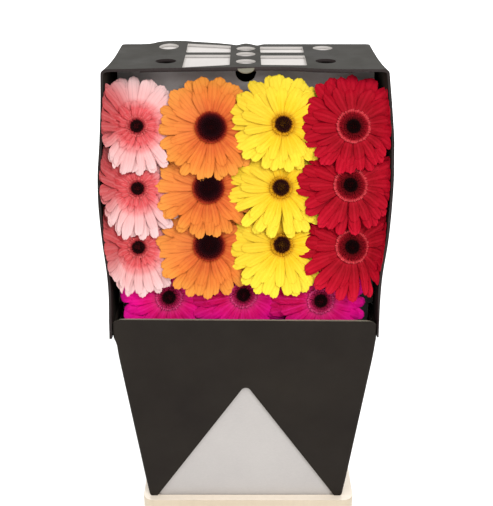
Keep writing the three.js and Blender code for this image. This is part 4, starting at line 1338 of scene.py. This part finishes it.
def disc_florets(rng, flower):
    """Buds in a golden-angle spiral: points (bud, level, side, 3), with their reach and tone."""
    radius = flower["eye"]
    count = int((radius / LARGE_EYE) ** 2 * LARGE_EYE_BUDS) + FEWEST_BUDS
    number = np.arange(count)[:, None, None] + 0.5
    share = np.sqrt(number / count)
    swell = smooth_step(0.25, 0.75, share) * 0.34 - smooth_step(0.78, 1.05, share) * 0.62
    top = dome_height(flower) * (0.72 + swell) + dish_at(radius * share)
    size = radius * 0.95 / math.sqrt(count) * (0.85 + 0.35 * share) * rng.uniform(0.9, 1.1, (count, 1, 1))
    profile = np.array([(0.55, -1.6), (0.9, -0.6), (1.0, 0.2), (0.72, 0.85), (0.12, 1.05)])
    ring = profile[None, :, None, 0] * size * (1 + 0.12 * rng.uniform(-1, 1, (count, 1, BUD_SIDES)))
    level = profile[None, :, None, 1] * size
    turn = even_angles(BUD_SIDES)
    out = radius * share + level * 0.5 * share ** 3 + ring * np.cos(turn)
    x, y = turned(out, ring * np.sin(turn), number * GOLDEN_ANGLE)
    points = stack(x, y, top + level)
    reach = np.broadcast_to(share, x.shape)
    tone = np.broadcast_to(rng.uniform(0, 1, (count, 1, 1)), x.shape)
    return points, reach, tone


def receptacle(flower):
    """The low dome that carries the florets: points, faces, and its reach across the collar."""
    base_radius = flower["collar"] - DOME_INSET
    height = dome_height(flower)
    eye_share = flower["eye"] / base_radius
    profile = np.array([
        (0.02, -0.0008), (0.6, -0.0008), (1.0, 0.0006), (0.97, 0.0024), (0.5 + 0.5 * eye_share, 0.0034),
        (eye_share, height * 0.62), (0.02, height * 0.55),
    ])
    radius = profile[:, 0] * base_radius
    points, faces = revolved(radius, profile[:, 1] + dish_at(radius), DOME_SIDES)
    from_eye = np.hypot(points[:, 0], points[:, 1]) - flower["eye"]
    return points, faces, np.clip(from_eye / (flower["collar"] - flower["eye"]), 0, 1)


def build_eye(head, rng):
    """The disc: packed buds on a low receptacle, and one or more rings of short collar florets."""
    colour = head["colour"]
    flower = FLOWERS[colour]
    buds, bud_reach, bud_tone = disc_florets(rng, flower)
    bud_faces = loft_faces(*buds.shape[1:3])
    dome, dome_faces, dome_reach = receptacle(flower)
    rings = max(1, round((flower["collar"] - flower["eye"]) / FLORET_RING))
    groups = [collar_florets(rng, flower, (ring + 1) / rings, rings) for ring in range(rings)]
    collar, collar_faces, (collar_reach, _, collar_tone) = join_sheets(groups)

    points, faces = joined([(bud, bud_faces) for bud in buds] + [(dome, dome_faces), (collar, collar_faces)])
    finishes = [f"{colour}_eye", f"{colour}_collar"]
    eye = make_object(f"{head['name']}_eye", place_on_face(head, points), faces, finishes)
    paint(eye, np.arange(len(faces)) >= len(buds) * len(bud_faces))
    dome_tone = np.full(len(dome), DOME_TONE)
    reach = np.concatenate([bud_reach.ravel(), dome_reach, collar_reach])
    tone = np.concatenate([bud_tone.ravel(), dome_tone, collar_tone])
    set_attributes(eye, reach=reach, tone=tone)
    add_piece(eye, f"{colour}_disc", f"{head['name']}_disc")


# Stems

def smooth_route(points, steps):
    """A centripetal Catmull-Rom curve through the points."""
    points = np.asarray(points)
    ends = np.concatenate([[2 * points[0] - points[1]], points, [2 * points[-1] - points[-2]]])
    runs = np.linalg.norm(np.diff(ends, axis=0), axis=1) ** 0.5
    knots = np.concatenate([[0.0], np.cumsum(runs)])
    route = []
    for i in range(len(points) - 1):
        t = np.linspace(knots[i + 1], knots[i + 2], steps, endpoint=False)[:, None]
        blends = ends[i:i + 4]
        for reach in (1, 2):
            blends = [
                between(blends[k], blends[k + 1], (t - knots[i + k]) / (knots[i + k + reach] - knots[i + k]))
                for k in range(len(blends) - 1)
            ]
        route.append(between(*blends, (t - knots[i + 1]) / (knots[i + 2] - knots[i + 1])))
    return np.concatenate(route + [points[-1:]])


def seat_height(flower):
    """Where the stalk meets the head, along the head's axis."""
    return dish_at(flower["eye"] + SEAT_MARGIN) - SEAT_DROP - GAP


def stem_route(head):
    """Back from the head, through the card, then down to the bucket's floor."""
    def on_axis(height):
        return face_to_world(on_face(head, np.array([0.0, 0.0, height])))

    neck = on_axis(seat_height(FLOWERS[head["colour"]]) - NECK_INSET)
    back = on_axis(-1.0) - on_axis(0.0)
    to_card = (neck[1] - on_axis(0.0)[1]) / back[1]
    at_card = neck + back * (CARD_RECESS - BEFORE_CARD - to_card)
    past = neck + back * (CARD_RECESS + PAST_CARD - to_card)
    floor = head["foot"]
    turned_down = past + np.array([(floor[0] - past[0]) * TURN_SHARE, TURN_BACK, -TURN_DROP])
    hanging = between(turned_down, floor, HANG_SHARE)
    foot = floor + [0, 0, GAP]
    above_foot = foot + [0, 0, FOOT_RISE]
    return smooth_route([neck, at_card, past, turned_down, hanging, above_foot, foot], STEM_STEPS_PER_SPAN)


def stem_tube(route, rng):
    """A ribbed tube along the route, a little thicker at the foot."""
    along = np.gradient(route, axis=0)
    along /= np.linalg.norm(along, axis=1)[:, None]
    side = np.cross(np.array([1.0, 0.0, 0.0]), along)
    side /= np.linalg.norm(side, axis=1)[:, None]
    across = np.cross(side, along)
    rib = 1 - 0.05 * (np.arange(STEM_SIDES) % 2)
    share = np.linspace(0, 1, len(route))
    swell = 0.86 + 0.14 * share + 0.015 * np.sin(share * 40 + rng.uniform(0, 6))
    angle = even_angles(STEM_SIDES)
    x, y = (STEM_RADIUS * swell[:, None] * rib * wave(angle) for wave in (np.cos, np.sin))
    return route[:, None, :] + across[:, None, :] * x[..., None] + side[:, None, :] * y[..., None]


def calyx_cup(seat):
    """The cup under a head: its outline's radii and heights from the seat, then its points and faces."""
    profile = np.array([
        (CALYX_END_RADIUS, -CALYX_LENGTH), (STEM_RADIUS, -CALYX_LENGTH),
        (CALYX_RADIUS * 0.62, -CALYX_LENGTH * 0.78), (CALYX_BELLY_RADIUS, CALYX_BELLY_HEIGHT - CALYX_LENGTH),
        (CALYX_RADIUS * 0.93, -CALYX_LENGTH * 0.12), (CALYX_RADIUS * 0.9, 0.0), (CALYX_END_RADIUS, 0.0),
    ])
    return profile, *revolved(profile[:, 0], profile[:, 1] + seat, CALYX_SIDES)


def calyx_bracts(profile, seat):
    """Two rows of narrow scales that lie on the cup, as closed sheets."""
    u = np.linspace(0, 1, 7)[None, :, None]
    v = np.array([-1.0, -0.5, 0.0, 0.5, 1.0])[None, None, :]
    rows = []
    for row in range(2):
        azimuth = ((np.arange(BRACT_COUNT) + row / 2) * 2 * math.pi / BRACT_COUNT)[:, None, None]
        height = BRACT_LENGTH * u - CALYX_LENGTH * (0.9 - BRACT_ROW_STEP * row)
        under = np.interp(height, profile[1:6, 1], profile[1:6, 0])
        half = BRACT_HALF_WIDTH * np.sqrt(np.clip(1 - u ** 2.2, 0.02, 1)) * (0.75 + 0.25 * u)
        radial = under + BRACT_LIFT * (1 - row) + BRACT_TIP_LIFT * u + BRACT_BULGE * (1 - v ** 2)
        outer, inner = (
            stack(*turned(radial + out, half * v, azimuth), height + seat)
            for out in (BRACT_HALF_THICKNESS, -BRACT_HALF_THICKNESS)
        )
        rows.append(np.stack([outer, inner], 1))
    return np.concatenate(rows)


def build_stalk(head, rng):
    seat = seat_height(FLOWERS[head["colour"]]) - CALYX_GAP
    profile, cup, cup_faces = calyx_cup(seat)
    bracts = calyx_bracts(profile, seat)
    bract_faces = shell_faces(*bracts.shape[2:4])
    calyx, calyx_faces = joined([(cup, cup_faces)] + [(bract, bract_faces) for bract in bracts])
    stem, stem_faces = loft(stem_tube(stem_route(head), rng))
    placed = face_to_world(on_face(head, calyx))
    points, faces = joined([(stem, stem_faces), (placed, calyx_faces)])
    stalk = make_object(f"{head['name']}_stalk", points, faces, ["stem_green"])
    add_piece(stalk, "stem_green", f"{head['name']}_stem")


# Flower card

def card_outline():
    """The card's outline, with a finger notch in its top edge, and shoulders over the sleeve's top."""
    rise = CARD_TOP - FINGER_NOTCH_RISE
    start = math.atan2(rise, math.sqrt(FINGER_NOTCH_RADIUS ** 2 - rise ** 2))
    angle = np.linspace(start, -math.pi - start, FINGER_NOTCH_STEPS)
    notch = FINGER_NOTCH_RADIUS * stack(np.cos(angle), np.sin(angle)) + [0, FINGER_NOTCH_RISE]
    right = np.array([
        (CARD_FOOT_HALF_WIDTH, CARD_BOTTOM), (CARD_NECK_HALF_WIDTH, CARD_SHOULDER),
        (CARD_HALF_WIDTH, CARD_SHOULDER), (CARD_HALF_WIDTH, CARD_TOP),
    ])
    left = right * [-1, 1]
    return np.concatenate([left[:1], right, notch, left[:0:-1]])


def stem_hole(head):
    """A hole where the head's axis crosses the middle of the card."""
    axis = head["turn"][:, 2]
    middle = -CARD_RECESS - CARD_BOARD / 2
    x, up, _ = head["centre"] + axis * (middle - head["centre"][2]) / axis[2]
    return circle(x, up, STEM_HOLE_RADIUS, STEM_HOLE_STEPS)


def build_card(heads):
    back = -CARD_RECESS - CARD_BOARD
    points, faces = prism(card_outline(), back, -CARD_RECESS)
    card = make_object("grey_card", face_to_world(points), faces, ["grey_board", "board_edge"], smooth=False)
    holes = [stem_hole(head) for head in heads]
    carve(card, holes, back - CARD_BOARD, -CARD_RECESS + CARD_BOARD, face_to_world, 1)
    soften_edges(card, SHEET_BEVEL, edge_material=1)
    add_piece(card, "grey_board", "flower_card")


# Stage, light and camera

def build_stage():
    corners = FLOOR_REACH * np.array([(-1, -1, 0), (1, -1, 0), (1, 1, 0), (-1, 1, 0)])
    floor = make_object("floor", corners, [[0, 1, 2, 3]], ["pale_floor"], smooth=False)


def add_softbox(name, place, target, size, energy):
    """A square area light that shines at the target."""
    light = bpy.data.lights.new(name, "AREA")
    light.shape = "SQUARE"
    light.size = size
    light.energy = energy
    box = bpy.data.objects.new(name, light)
    box.location = place
    box.rotation_euler = (Vector(target) - Vector(place)).to_track_quat("-Z", "Y").to_euler()
    bpy.context.scene.collection.objects.link(box)


def build_light():
    world = bpy.data.worlds.new("studio")
    world.use_nodes = True
    background = world.node_tree.nodes["Background"].inputs
    background["Color"].default_value = (1.0, 1.0, 1.0, 1.0)
    background["Strength"].default_value = SKY_STRENGTH
    bpy.context.scene.world = world
    for name, softbox in SOFTBOXES.items():
        add_softbox(name, *softbox)
    bpy.context.scene.view_settings.view_transform = "Standard"


def build_camera():
    lens = bpy.data.cameras.new("camera")
    lens.lens = CAMERA_LENS
    lens.sensor_width = CAMERA_SENSOR
    lens.sensor_fit = "AUTO"
    camera = bpy.data.objects.new("camera", lens)
    camera.location = CAMERA_PLACE
    camera.rotation_euler = (math.pi / 2 - CAMERA_PITCH, 0.0, 0.0)
    bpy.context.scene.collection.objects.link(camera)
    bpy.context.scene.camera = camera


build_camera()
build_light()
materials = make_materials()
build_stage()
build_bucket()
build_sleeve()
build_liner()
build_hood()
build_lid_liner()
heads = head_list()
build_card(heads)
for number, head in enumerate(heads):
    rng = np.random.default_rng(FIRST_SEED + number)
    build_rays(head, rng)
    build_eye(head, rng)
    build_stalk(head, rng)
